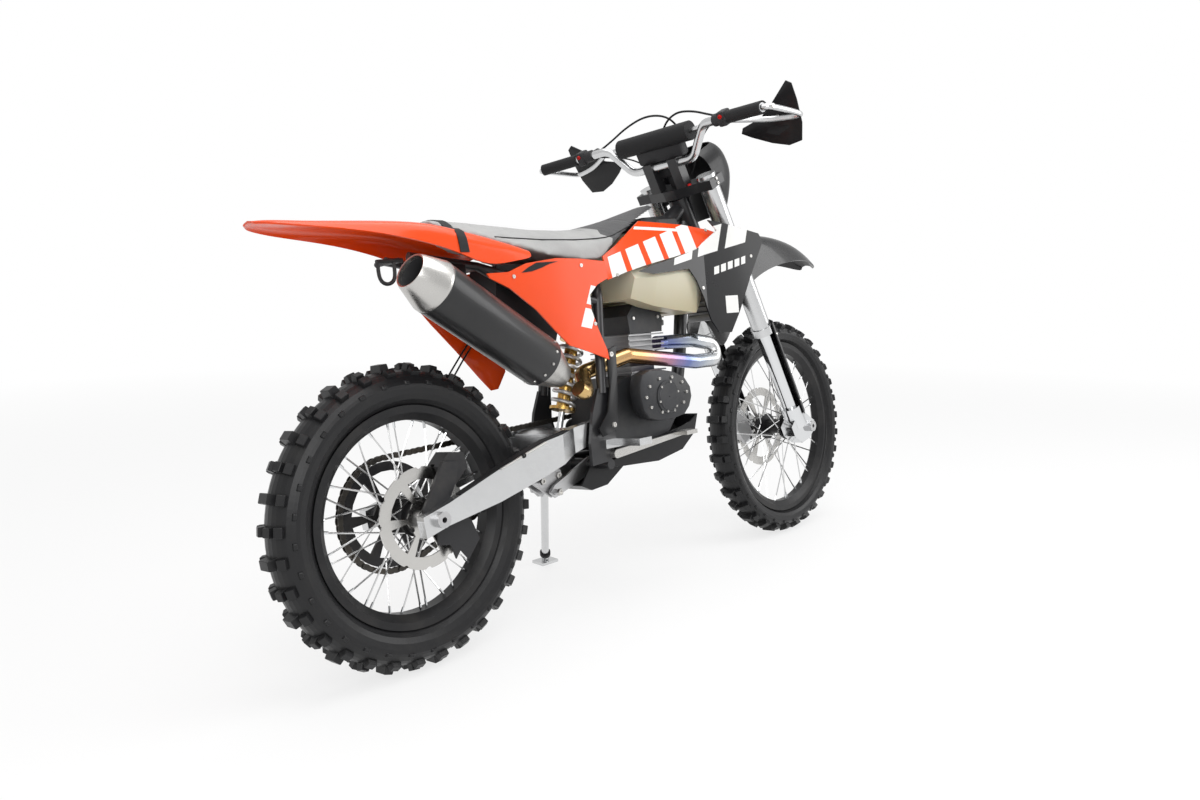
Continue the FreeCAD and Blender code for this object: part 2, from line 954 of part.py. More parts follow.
def cradle_route():
    """The route of the left cradle tube under the engine."""
    return [
        (z.cradle_front_x, 0, z.cradle_front_z),
        (z.cradle_bend_x, z.cradle_place, z.cradle_z),
        (z.cradle_rear_x, z.cradle_place, z.cradle_z),
        (z.pivot_x + z.cradle_radius * 2, z.plate_inner - z.cradle_radius / 2,
         z.plate_low + z.cradle_radius * 3),
    ]


def side_route():
    """The route of the left side tube from the spine to its pivot plate."""
    side = z.plate_inner + z.plate_thickness / 2
    return [
        (z.spine_rear_x, 0, z.spine_rear_z),
        (z.spine_rear_x - z.cradle_place, side - z.cradle_radius, z.spine_rear_z - z.side_drop),
        (z.pivot_x + z.cradle_radius * 2, side, z.plate_high - z.cradle_radius),
    ]


def stand_frame():
    """The side stand's pivot, hinge axis, leg direction and foot."""
    lean = math.radians(float(z.lean_deg))
    ground = z.stand_foot_y * math.tan(lean) - z.tyre_crown_radius * (1 / math.cos(lean) - 1)
    foot = (z.stand_foot_x, z.stand_foot_y, ground)
    pivot = (z.stand_x, z.stand_y, z.stand_z)
    leg = (spot(foot) - spot(pivot)).normalize()
    axis = leg.cross(Vector(*STAND_FOLDED_SHARES)).normalize()
    return pivot, axis, leg, foot


STAND_FOLDED_SHARES = (-0.985, 0.10, 0.15)


def along(point, direction, length):
    """A point moved a length along a direction."""
    return tuple(value + length * share for value, share in zip(point, direction))


def build_frame():
    """The main frame with its steering head, cradle and pivot plates, and the subframe."""
    head = Piece("head_tube")
    head.rod((0, 0, z.head_low), (0, 0, z.head_high), z.head_tube_radius)
    placed(head.body, STEERING)
    hollow = Piece("head_bore")
    hollow.rod((0, 0, z.head_low), (0, 0, z.head_high), z.stem_radius + z.fit)
    placed(hollow.body, STEERING)
    back_x, back_z = beside(-z.stem_radius, z.head_high - z.head_tube_radius)
    shock_top = (z.shock_top_x, 0, z.shock_top_z + z.shock_eye_radius * 1.5)
    spine_rear = (z.spine_rear_x, 0, z.spine_rear_z)
    backbone = tube(
        "backbone", [(back_x, 0, back_z), (z.spine_front_x, 0, z.spine_front_z), spine_rear],
        z.backbone_radius, z.backbone_radius * 3,
    )
    shock_mast = Piece("shock_mast")
    shock_mast.rod(spine_rear, shock_top, z.cradle_radius)
    down_tube = tube("down_tube", down_route(), z.down_tube_radius, z.down_tube_radius * 4)
    cradle = tube("cradle", cradle_route(), z.cradle_radius, z.cradle_radius * 3)
    side_tube = tube("side_tube", side_route(), z.cradle_radius, z.cradle_radius * 3)
    plate_shares = [(0.1, 0), (0.75, 0.02), (1, 0.3), (0.85, 0.6), (0.9, 1), (0.5, 1), (0.26, 0.7),
                    (0.1, 0.3)]
    outline = corners(plate_shares, z.pivot_x - z.plate_width * 0.4, z.plate_low, z.plate_width,
                      z.plate_high - z.plate_low)
    plate = block("pivot_plate", "XZ", [outline], z.plate_inner, z.plate_inner + z.plate_thickness)
    cross = Piece("link_tube")
    reach = z.plate_inner + z.plate_thickness / 2
    cross.rod((z.link_front_x, -reach, z.link_front_z), (z.link_front_x, reach, z.link_front_z),
              z.cradle_radius)
    cross.rod((z.pivot_x, -reach, z.pivot_z), (z.pivot_x, reach, z.pivot_z), z.pivot_bolt_radius)
    pivot, axis, leg, foot = stand_frame()
    face = along(pivot, axis, -z.stand_boss_half - z.fit)
    root_length = (face[1] - z.plate_inner - z.plate_thickness / 2) / axis.y
    root_end = along(face, axis, -root_length)
    bracket_shares = [(0, 0.2), (0.3, 0), (0.8, 0.1), (1, 0.5), (1, 1), (0, 1)]
    low = root_end[2] - z.stand_boss_radius
    bracket = block(
        "stand_bracket", "XZ",
        [corners(bracket_shares, root_end[0] - z.stand_boss_radius, low,
                 z.stand_boss_radius * 2.4, z.plate_low - low + z.cradle_radius)],
        z.plate_inner, z.plate_inner + z.plate_thickness,
    )
    hinge = Piece("stand_hinge")
    hinge.rod(root_end, face, z.stand_boss_radius)
    end = along(pivot, axis, z.stand_boss_half + z.fit)
    hinge.rod(root_end, end, z.stand_pin_radius)
    hinge.rod(end, along(end, axis, z.stand_pin_radius * 0.7), z.stand_boss_radius * 0.75)
    lug_shares = [(0, 0), (1, 0.1), (1, 0.9), (0, 1)]
    lug = block(
        "engine_lug", "XZ",
        [corners(lug_shares, z.crankcase_front_x, z.engine_lug_z,
                 z.cradle_front_x - z.crankcase_front_x, z.engine_lug_height)],
        -z.down_tube_radius, z.down_tube_radius,
    )
    whole = joined("main_frame_whole", [
        head.body, backbone, shock_mast.body, down_tube, cradle, flipped("cradle_right", cradle),
        side_tube, flipped("side_tube_right", side_tube), plate, flipped("plate_right", plate),
        cross.body, bracket, hinge.body, lug,
    ])
    node("main_frame", less("main_frame_form", whole, hollow.body))
    rail = tube(
        "rail",
        [
            (z.rail_front_x, z.rail_front_place, z.rail_front_z),
            (z.rail_mid_x, z.subframe_place, z.rail_mid_z),
            (z.rail_rear_x, z.subframe_place * 0.7, z.rail_rear_z),
        ],
        z.subframe_radius, z.subframe_radius * 4,
    )
    brace = Piece("rail_brace")
    brace.rod((z.rail_brace_x, z.rail_brace_place, z.rail_brace_z),
              (z.rail_mid_x, z.subframe_place, z.rail_mid_z), z.subframe_radius)
    tie = Piece("rail_tie")
    tie.rod((z.rail_mid_x, -z.subframe_place, z.rail_mid_z),
            (z.rail_mid_x, z.subframe_place, z.rail_mid_z), z.subframe_radius)
    rails = joined("rails_left", [rail, brace.body])
    room = tube("side_room", side_route(), z.cradle_radius + z.fit, z.cradle_radius * 3)
    coped = less("rails_coped", rails, room)
    subframe = joined("subframe_form", [coped, flipped("rails_right", coped), tie.body])
    node("subframe", subframe)


def build_swingarm():
    """The swingarm as its side view and its plan in common, cleared for the chain."""
    rise_shares = [(-0.085, 0.24), (-0.075, -0.26), (0.04, -0.24), (0.33, -0.36), (0.60, -0.36),
                   (0.80, -0.30), (1.0, -0.28), (1.053, 0), (1.03, 0.26), (0.8, 0.42), (0.62, 0.5),
                   (0.34, 0.42), (0.05, 0.26)]
    slope = (z.pivot_z - z.rear_tyre_radius) / z.pivot_x
    side_outline = [
        (z.pivot_x * u, z.rear_tyre_radius + z.pivot_x * u * slope + z.arm_depth * v)
        for u, v in rise_shares
    ]
    side = block("arm_side", "XZ", [side_outline], -z.arm_outer, z.arm_outer)
    outer = z.arm_outer
    plan_half = [
        (-z.arm_tail, outer), (z.arm_brace_rear, outer), (z.arm_brace_front, z.arm_front_outer),
        (z.pivot_x + z.pivot_boss_radius, z.arm_front_outer),
        (z.pivot_x + z.pivot_boss_radius, z.arm_front_inner), (z.arm_brace_front, z.arm_front_inner),
    ]
    inner_half = [
        (z.arm_brace_rear, z.arm_front_inner),
        (z.arm_brace_rear - z.pivot_boss_radius, z.arm_inner),
        (-z.arm_tail, z.arm_inner),
    ]
    plan = plan_half + [(u, -v) for u, v in reversed(plan_half)]
    plan += [(u, -v) for u, v in reversed(inner_half)] + inner_half
    flat = block("arm_plan", "XY", [plan], 0, z.pivot_z * 2)
    arm = shared("arm_whole", [side, flat])
    holes = Piece("arm_holes")
    reach = z.arm_outer + z.overrun
    holes.rod((0, -reach, z.rear_tyre_radius), (0, reach, z.rear_tyre_radius),
              z.axle_radius + z.fit)
    holes.rod((z.pivot_x, -reach, z.pivot_z), (z.pivot_x, reach, z.pivot_z),
              z.pivot_bolt_radius + z.fit)
    holes.pad("XZ", [box_outline(z.arm_brace_rear - z.arm_inner, z.pivot_x * 2,
                                 z.chain_channel_z, z.pivot_z * 2)],
              z.chain_place - z.chain_half_width * 2, z.chain_place + z.chain_half_width * 1.7)
    node("swingarm", less("swingarm_form", arm, holes.body))


def build_chain():
    """The drive chain as one closed loop, with its guide and the front sprocket."""
    chain = Piece("chain_form")
    chain.pad("XZ", [chain_loop(z.chain_half_height), chain_loop(-z.chain_half_height)],
              z.chain_place - z.chain_half_width, z.chain_place + z.chain_half_width)
    node("chain", chain.body)
    front = Piece("front_sprocket_form")
    radius = pitch_radius(z.front_teeth) - z.chain_half_height - z.fit
    front.pad("XZ", [Round(z.front_sprocket_x, z.front_sprocket_z, radius)],
              z.engine_left, z.chain_place + z.sprocket_thickness / 2)
    node("front_sprocket", front.body)


# Engine and exhaust

def build_engine():
    """The engine as plain blocks at their real place with open fins."""
    case_shares = [(0, 0.25), (0.12, 0), (0.62, 0), (0.78, 0.15), (1, 0.55), (1, 0.8), (0.85, 1), (0.25, 1),
                   (0.05, 0.8)]
    length = z.crankcase_front_x - z.crankcase_rear_x
    height = z.crankcase_high_z - z.crankcase_low_z
    case = block("crankcase_form", "XZ", [corners(case_shares, z.crankcase_rear_x,
                 z.crankcase_low_z, length, height)], -z.engine_right, z.engine_left)
    node("crankcase", case)
    covers = Piece("clutch_cover_form")
    cover_shares = [(0, 0.45), (0.1, 0.1), (0.45, 0), (0.8, 0.1), (1, 0.4), (1, 0.62), (0.6, 0.95),
                    (0.3, 1), (0.05, 0.8)]
    outline = corners(cover_shares, z.cover_rear_x, z.cover_low_z, z.cover_length, z.cover_height)
    covers.pad("XZ", [outline], -z.engine_right - z.cover_depth, -z.engine_right)
    covers.pad("XZ", [Round(z.cover_rear_x + z.cover_length * 0.45,
                            z.cover_low_z + z.cover_height * 0.5, z.cover_height * 0.4)],
               -z.engine_right - z.cover_depth * 1.3, -z.engine_right - z.cover_depth)
    node("clutch_cover", covers.body)
    left = Piece("flywheel_cover_form")
    left.pad("XZ", [Round(z.cover_rear_x + z.cover_length * 0.62,
                          z.cover_low_z + z.cover_height * 0.5, z.cover_height * 0.4)],
             z.engine_left, z.engine_left + z.cover_depth * 1.2)
    node("flywheel_cover", left.body)
    barrel = Piece("cylinder_form")
    low = z.crankcase_high_z
    count = int(z.fin_count.value)
    core = z.fin_core_share
    centre = (z.cylinder_rear_x + z.cylinder_front_x) / 2
    half = (z.cylinder_front_x - z.cylinder_rear_x) / 2
    barrel.pad("XY", [box_outline(centre - half * core, centre + half * core,
                                  -z.cylinder_half_width * core, z.cylinder_half_width * core)],
               low, z.cylinder_high_z)
    pitch = (z.cylinder_high_z - low) / z.fin_count
    for k in range(count):
        start = low + pitch * (k + 0.5)
        barrel.pad("XY", [box_outline(centre - half, centre + half, -z.cylinder_half_width,
                                      z.cylinder_half_width)], start, start + z.fin_thickness)
    node("cylinder", barrel.body)
    head = Piece("cylinder_head_form")
    head_shares = [(0.04, 0), (0.96, 0), (1, 0.5), (0.86, 0.9), (0.2, 1), (0, 0.6)]
    outline = corners(head_shares, z.cylinder_rear_x, z.cylinder_high_z,
                      z.cylinder_front_x - z.cylinder_rear_x, z.head_height)
    head.pad("XZ", [outline], -z.cylinder_half_width, z.cylinder_half_width)
    node("cylinder_head", head.body)


def build_exhaust():
    """The header, the muffler can and its end cap on the right side."""
    front = (z.can_front_x, z.can_front_y, z.can_front_z)
    rear = (z.can_rear_x, z.can_rear_y, z.can_rear_z)
    direction = (spot(rear) - spot(front)).normalize()
    frame = Placement(spot(front), Rotation(Vector(0, 0, 1), direction))
    tip = [size - z.can_cone * share for size, share in zip(front, direction)]
    lead = [size - z.header_radius * 1.7 * share for size, share in zip(tip, direction)]
    port = -z.cylinder_half_width * 0.6
    points = [
        (z.cylinder_front_x + z.fit, port, z.port_z),
        (z.cylinder_front_x + z.header_radius * 1.8, port, z.port_z),
        (z.header_turn_x - z.header_bend, -z.header_place * 0.75, z.port_z),
        (z.header_turn_x, -z.header_place * 0.85, z.port_z - z.header_bend * 0.2),
        (z.header_turn_x - z.header_bend * 0.1, -z.header_place * 0.95, z.header_front_z),
        (z.header_turn_x - z.header_bend * 1.4, -z.header_place, z.header_front_z),
        (z.header_rear_x, -z.header_place * 0.85, z.header_rear_z),
        (z.header_tuck_x, -z.header_tuck_place, z.header_tuck_z),
        tuple(lead),
        tuple(tip),
    ]
    node("exhaust_pipe", tube("exhaust_pipe_form", points, z.header_radius, z.header_radius * 1.25))
    length = apart(front, rear)
    can = Piece("muffler_form")
    outline = [
        (0, -z.can_cone), (z.header_radius + z.fit, -z.can_cone), (z.can_radius, 0),
        (z.can_radius, length * z.can_share), (0, length * z.can_share),
    ]
    can.turn("XZ", outline, "Z")
    node("muffler", can.body, frame)
    cap = Piece("muffler_cap_form")
    mouth = z.can_radius * z.can_mouth_share
    outline = [
        (0, length * z.can_share), (z.can_radius, length * z.can_share), (mouth, length),
        (mouth - z.panel_wall, length), (mouth * 0.6, length - z.panel_wall * 5),
        (0, length - z.panel_wall * 5),
    ]
    cap.turn("XZ", outline, "Z")
    node("muffler_cap", cap.body, frame)


# Bodywork

def shell_section(half, edge, shoulder, shoulder_height, crown, wall):
    """A thin arch: two edges, two shoulders and a flat crown, with a wall thickness."""
    ridge = shoulder * ARCH_RIDGE_SHARE
    outer = [(half, edge), (shoulder, shoulder_height), (ridge, crown)]
    inner = [(ridge, crown - wall), (shoulder - wall, shoulder_height - wall), (half - wall, edge)]
    return outer + [(-u, v) for u, v in reversed(outer)] + [(-u, v) for u, v in reversed(inner)] \
        + inner


def lump_section(bottom, low, side, side_height, top, top_height, crown):
    """A solid cushion or tank section: flat below, widest at the side, crowned on top."""
    half = [(bottom, low), (side, side_height), (top, top_height), (top * 0.5, crown)]
    return half + [(-u, v) for u, v in reversed(half)]


ARCH_RIDGE_SHARE = 0.45


def build_seat_and_tank():
    """The seat, the fuel tank under it, and the airbox under the seat."""
    seat = Piece("seat_form")
    seat_shares = [
        (0, 0.45, 0.48, 0.45, 0.52, 0.42, 0.57, 0.59),
        (0.196, 0.80, 0.25, 0.80, 0.33, 0.62, 0.49, 0.525),
        (0.386, 0.93, 0.08, 0.90, 0.20, 0.62, 0.44, 0.485),
        (0.513, 0.97, 0.02, 0.92, 0.20, 0.60, 0.45, 0.49),
        (0.60, 1.0, 0.05, 0.93, 0.25, 0.58, 0.48, 0.52),
        (0.69, 0.98, 0.33, 0.90, 0.45, 0.56, 0.57, 0.61),
        (0.816, 0.80, 0.61, 0.74, 0.66, 0.46, 0.73, 0.76),
        (1.0, 0.45, 0.90, 0.42, 0.93, 0.30, 0.97, 1.0),
    ]
    width, low, height = z.seat_half_width, z.seat_low, z.seat_height
    seat.loft("YZ", [
        (z.seat_rear + z.seat_length * s, lump_section(
            width * a, low + height * b, width * c, low + height * d, width * e,
            low + height * f, low + height * g))
        for s, a, b, c, d, e, f, g in seat_shares
    ])
    node("seat", seat.body)
    tank = Piece("tank_whole")
    tank_shares = [
        (0, 0.80, 0.17, 0.93, 0.35, 0.62, 0.60, 0.66),
        (0.25, 0.86, 0.09, 1.0, 0.35, 0.70, 0.80, 0.88),
        (0.51, 0.90, 0.04, 1.0, 0.38, 0.70, 0.92, 0.97),
        (0.80, 0.92, 0, 1.0, 0.40, 0.62, 0.95, 1.0),
        (1.0, 0.75, 0.15, 0.85, 0.40, 0.40, 0.85, 0.92),
    ]
    width, low, height = z.tank_half_width, z.tank_low, z.tank_height
    tank.loft("YZ", [
        (z.tank_rear + z.tank_length * s, lump_section(
            width * a, low + height * b, width * c, low + height * d, width * e,
            low + height * f, low + height * g))
        for s, a, b, c, d, e, f, g in tank_shares
    ])
    room = Piece("tank_room")
    narrow = z.backbone_radius + z.fit
    rise = (z.spine_front_z - z.spine_rear_z) / (z.spine_front_x - z.spine_rear_x)
    reach = z.tank_length * 0.2
    front_x = z.spine_front_x + reach
    slot = [
        (z.spine_rear_x - reach, z.tank_low - reach), (front_x, z.tank_low - reach),
        (front_x, z.spine_front_z + reach * rise), (z.spine_front_x, z.spine_front_z),
        (z.spine_rear_x, z.spine_rear_z), (z.spine_rear_x - reach, z.spine_rear_z),
    ]
    room.pad("XZ", [slot], -narrow, narrow)
    head_top = z.cylinder_high_z + z.head_height + z.head_room
    room.pad("XZ", [box_outline(z.spine_rear_x - reach, z.cylinder_front_x + z.head_room * 3,
                                z.tank_low - reach, head_top)],
             -z.cylinder_half_width - z.head_room, z.cylinder_half_width + z.head_room)
    back_x, back_z = beside(-z.stem_radius, z.head_high - z.head_tube_radius)
    bore = tube(
        "tank_bore", [(back_x, 0, back_z), (z.spine_front_x, 0, z.spine_front_z),
                      (z.spine_rear_x, 0, z.spine_rear_z)],
        narrow, z.backbone_radius * 3,
    )
    tool = joined("tank_tool", [room.body, bore, seat.body])
    node("fuel_tank", less("fuel_tank_form", tank.body, tool))
    airbox_shares = [(0.04, 0.97), (1, 1), (1, 0.63), (0.72, 0.42), (0.6, 0.04), (0.38, 0),
                     (0.2, 0.25), (0, 0.68)]
    box = block("airbox_whole", "XZ", [corners(airbox_shares, z.airbox_rear, z.airbox_low,
                z.airbox_length, z.airbox_height)], -z.airbox_half_width, z.airbox_half_width)
    node("airbox", less("airbox_form", box, seat.body))
    fender = Piece("rear_fender_whole")
    fender_shares = [
        (0, 0.48, 0.86, 0.40, 0.91, 0.94), (0.16, 0.62, 0.83, 0.52, 0.91, 0.96),
        (0.39, 0.75, 0.75, 0.66, 0.92, 1.0), (0.58, 0.84, 0.57, 0.77, 0.91, 1.0),
        (0.69, 0.90, 0.40, 0.83, 0.79, 0.91), (0.80, 0.95, 0.17, 0.88, 0.69, 0.80),
        (0.92, 0.98, 0.27, 0.93, 0.56, 0.66), (1.0, 1.0, 0.32, 0.96, 0.45, 0.55),
    ]
    width, low, height = z.fender_half_width, z.fender_low, z.fender_height
    fender.loft("YZ", [
        (z.fender_rear + z.fender_length * s, shell_section(
            width * a, low + height * b, width * c, low + height * d, low + height * e,
            z.panel_wall))
        for s, a, b, c, d, e in fender_shares
    ])
    node("rear_fender", less("rear_fender_form", fender.body, seat.body))
    return seat.body


def build_panels(seat):
    """The side panels, the tank panels and the shrouds, left and right."""
    side_shares = [
        (0.02, 0.83), (0.18, 0.84), (0.32, 0.915), (0.56, 0.96), (0.76, 0.955), (0.97, 0.93),
        (0.99, 0.77), (0.89, 0.71), (0.82, 0.62), (0.82, 0.48), (0.87, 0.28), (0.93, 0.09),
        (0.94, 0), (0.77, 0.09), (0.61, 0.165), (0.52, 0.285), (0.37, 0.5), (0.18, 0.70),
        (0.04, 0.79),
    ]
    outline = corners(side_shares, z.side_panel_rear, z.side_panel_low, z.side_panel_length,
                      z.side_panel_height)
    front = z.side_panel_rear + z.side_panel_length
    plan = [
        (z.side_panel_rear, -z.side_panel_rear_place), (front, -z.side_panel_front_place),
        (front, -z.side_panel_front_place + z.panel_wall),
        (z.side_panel_rear, -z.side_panel_rear_place + z.panel_wall),
    ]
    side = shared("side_panel_whole", [
        block("side_panel_side", "XZ", [outline], -z.panel_reach, z.overrun),
        block("side_panel_plan", "XY", [plan], 0, z.panel_reach * 4),
    ])
    share = (z.panel_boss_x - z.rail_mid_x) / (z.rail_front_x - z.rail_mid_x)
    rail_place = z.subframe_place + (z.rail_front_place - z.subframe_place) * share
    height = z.rail_mid_z + (z.rail_front_z - z.rail_mid_z) * share
    share = (z.panel_boss_x - z.side_panel_rear) / z.side_panel_length
    place = z.side_panel_rear_place + (z.side_panel_front_place - z.side_panel_rear_place) * share
    boss = Piece("side_panel_boss")
    boss.rod((z.panel_boss_x, -rail_place - z.subframe_radius - z.fit * 2, height),
             (z.panel_boss_x, -place + z.panel_wall / 2, height), z.panel_boss_radius)
    side = joined("side_panel_joined", [side, boss.body])
    node("side_panel_right", side)
    node("side_panel_left", flipped("side_panel_left_form", side))
    panel_shares = [
        (0, 0, 0.86, 0.38, 0.80), (0.146, 0.12, 0.91, 0.60, 0.76), (0.28, 0.21, 0.95, 0.83, 0.72),
        (0.38, 0.27, 0.985, 1.0, 0.69), (0.55, 0.36, 1.0, 0.97, 0.78),
        (0.73, 0.47, 1.02, 0.94, 0.85), (0.93, 0.62, 1.05, 0.86, 0.94),
        (1.0, 0.77, 1.06, 0.80, 1.0),
    ]
    panel = Piece("tank_panel_whole")
    sections = []
    for s, low, low_place, high, high_place in panel_shares:
        bottom = z.tank_panel_low + z.tank_panel_height * low
        top = z.tank_panel_low + z.tank_panel_height * high
        outside = -z.tank_panel_place
        sections.append((z.tank_panel_rear + z.tank_panel_length * s, [
            (outside * low_place, bottom), (outside * high_place, top),
            (outside * high_place + z.panel_wall, top), (outside * low_place + z.panel_wall, bottom),
        ]))
    panel.loft("YZ", sections)
    shroud_shares = [
        (0, 0.55), (0.12, 0.53), (0.41, 0.57), (0.47, 0.47), (0.53, 0.30), (0.57, 0.12),
        (0.62, 0.01), (0.71, 0), (0.78, 0.17), (0.88, 0.47), (1.0, 0.80), (0.97, 0.87),
        (0.72, 0.96), (0.60, 0.99), (0.66, 0.90), (0.50, 0.74), (0.30, 0.66), (0.1, 0.60),
    ]
    outline = corners(shroud_shares, z.shroud_rear, z.shroud_low, z.shroud_length, z.shroud_height)
    knee = z.shroud_rear + z.shroud_length * 0.55
    tip = z.shroud_rear + z.shroud_length
    plan = [
        (z.shroud_rear, -z.shroud_rear_place), (knee, -z.shroud_knee_place),
        (tip, -z.shroud_tip_place), (tip, -z.shroud_tip_place + z.panel_wall),
        (knee, -z.shroud_knee_place + z.panel_wall),
        (z.shroud_rear, -z.shroud_rear_place + z.panel_wall),
    ]
    shroud = shared("shroud_whole", [
        block("shroud_side", "XZ", [outline], -z.shroud_tip_place - z.overrun, z.overrun),
        block("shroud_plan", "XY", [plan], 0, z.panel_reach * 4),
    ])
    node("shroud_right", shroud)
    node("shroud_left", flipped("shroud_left_form", shroud))
    cut = less("tank_panel_form", panel.body, joined("tank_panel_tool", [seat, shroud]))
    node("tank_panel_right", cut)
    node("tank_panel_left", flipped("tank_panel_left_form", cut))


def tray_room(shares, rear, low, length, height, wall):
    """The room inside a tray, open above and behind."""
    edge = corners(shares, rear, low + wall, length - wall, height)
    first, last = edge[0], edge[-1]
    top = low + height + wall * 2
    behind = rear - wall
    return [(behind, first[1])] + edge + [(last[0], top), (behind, top)]


def build_skid_plate():
    """The skid plate, an open tray under the engine."""
    tray = Piece("skid_plate_form")
    tray_shares = [(0, 0.25), (0.12, 0.13), (0.53, 0.05), (0.80, 0.20), (0.95, 0.55), (1.0, 1.0),
                   (0.9, 0.82), (0.25, 0.42)]
    outline = corners(tray_shares, z.skid_rear, z.skid_low, z.skid_length, z.skid_height)
    tray.pad("XZ", [outline], -z.skid_half_width, z.skid_half_width)
    hump_shares = [(0, 0.2), (0.22, 0), (0.58, 0.06), (1.0, 0.55), (1.0, 0.75), (0.33, 1.0)]
    hump = corners(hump_shares, z.hump_rear, z.hump_low, z.hump_length, z.hump_height)
    tray.pad("XZ", [hump], -z.hump_half_width, z.hump_half_width)
    wall = z.panel_wall
    place = z.skid_half_width - wall
    tray.cut("XZ", [tray_room(tray_shares[:6], z.skid_rear, z.skid_low, z.skid_length,
                              z.skid_height, wall)], -place, place)
    place = z.hump_half_width - wall
    tray.cut("XZ", [tray_room(hump_shares[:5], z.hump_rear, z.hump_low, z.hump_length,
                              z.hump_height, wall)], -place, place)
    cradle = tube("cradle_room", cradle_route(), z.cradle_radius + z.fit, z.cradle_radius * 3)
    down = tube("down_room", down_route(), z.down_tube_radius + z.fit, z.down_tube_radius * 4)
    cross = Piece("cross_room")
    reach = z.plate_inner
    cross.rod((z.link_front_x, -reach, z.link_front_z), (z.link_front_x, reach, z.link_front_z),
              z.cradle_radius + z.fit)
    rooms = joined("skid_rooms", [cradle, flipped("cradle_room_right", cradle), down, cross.body])
    node("skid_plate", less("skid_plate_cut", tray.body, rooms))


# Suspension

def build_suspension():
    """The shock absorber and its linkage."""
    low = (z.shock_low_x, 0, z.shock_low_z)
    high = (z.shock_top_x, 0, z.shock_top_z)
    direction = (spot(high) - spot(low)).normalize()
    frame = Placement(spot(low), Rotation(Vector(0, 0, 1), direction))
    length = apart(low, high)
    shock = Piece("shock_form")
    eye = z.shock_eye_radius
    base = z.spring_base
    outline = [(0, eye * 0.5), (z.shock_rod_radius, eye * 0.5), (z.shock_rod_radius, base - eye)]
    outline += [(z.spring_radius, base - eye), (z.spring_radius, base - eye / 2)]
    count = int(z.spring_coils.value)
    span = length - base - eye * 4
    pitch = span / z.spring_coils
    for k in range(count):
        start = base + pitch * k
        outline += [
            (z.spring_radius * 0.82, start + pitch * 0.2), (z.spring_radius, start + pitch * 0.4),
            (z.spring_radius, start + pitch * 0.8), (z.spring_radius * 0.82, start + pitch * 0.95),
        ]
    top = base + span
    outline += [(z.spring_radius, top + eye * 0.2), (z.spring_radius, top + eye)]
    outline += [(z.shock_rod_radius * 1.6, top + eye), (z.shock_rod_radius * 1.6, length)]
    outline += [(0, length)]
    shock.turn("XZ", outline, "Z")
    half = z.shock_eye_half_width
    shock.rod((0, -half, 0), (0, half, 0), eye)
    shock.rod((0, -half, length), (0, half, length), eye)
    shock.drill((0, -half, 0), (0, half, 0), z.link_bolt_radius + z.fit)
    node("shock_absorber", shock.body, frame)
    rocker = Piece("linkage_form")
    inner = z.shock_eye_half_width + z.fit
    outer = inner + z.link_wall
    points = [
        (z.link_rear_x, z.link_rear_z), (z.link_low_x, z.link_low_z),
        (z.shock_low_x, z.shock_low_z),
    ]
    lobe = z.link_bolt_radius * 2.2
    outline = [
        (points[0][0] - lobe, points[0][1]), (points[1][0], points[1][1] - lobe),
        (points[2][0] + lobe, points[2][1] - lobe * 0.4),
        (points[2][0] + lobe * 0.5, points[2][1] + lobe), (points[0][0], points[0][1] + lobe),
    ]
    rocker.pad("XZ", [outline], -outer, -inner)
    rocker.pad("XZ", [outline], inner, outer)
    bolt = z.link_bolt_radius
    reach = z.lug_outer + z.link_wall
    rocker.rod((points[0][0], -reach, points[0][1]), (points[0][0], reach, points[0][1]), bolt)
    rocker.rod((points[1][0], -reach, points[1][1]), (points[1][0], reach, points[1][1]), bolt)
    rocker.rod((points[2][0], -outer, points[2][1]), (points[2][0], outer, points[2][1]), bolt)
    arms = Piece("link_arms_form")
    ring = z.cradle_radius + z.link_wall
    arm = [
        (z.link_low_x - lobe, z.link_low_z), (z.link_low_x, z.link_low_z - lobe),
        (z.link_front_x + ring * 0.5, z.link_front_z - ring), (z.link_front_x + ring,
                                                             z.link_front_z),
        (z.link_front_x, z.link_front_z + ring), (z.link_low_x, z.link_low_z + lobe),
    ]
    for side in (-1, 1):
        low_place, high_place = z.lug_inner - z.fit, z.lug_inner - z.fit - z.link_wall
        span = (-low_place, -high_place) if side < 0 else (high_place, low_place)
        arms.pad("XZ", [arm], *span)
    reach = z.lug_outer
    arms.drill((z.link_low_x, -reach, z.link_low_z), (z.link_low_x, reach, z.link_low_z),
               bolt + z.fit)
    arms.drill((z.link_front_x, -reach, z.link_front_z), (z.link_front_x, reach, z.link_front_z),
               z.cradle_radius + z.fit)
    node("linkage", together("linkage_whole", [rocker.body, arms.body]))


# Controls, caliper and guards on the frame

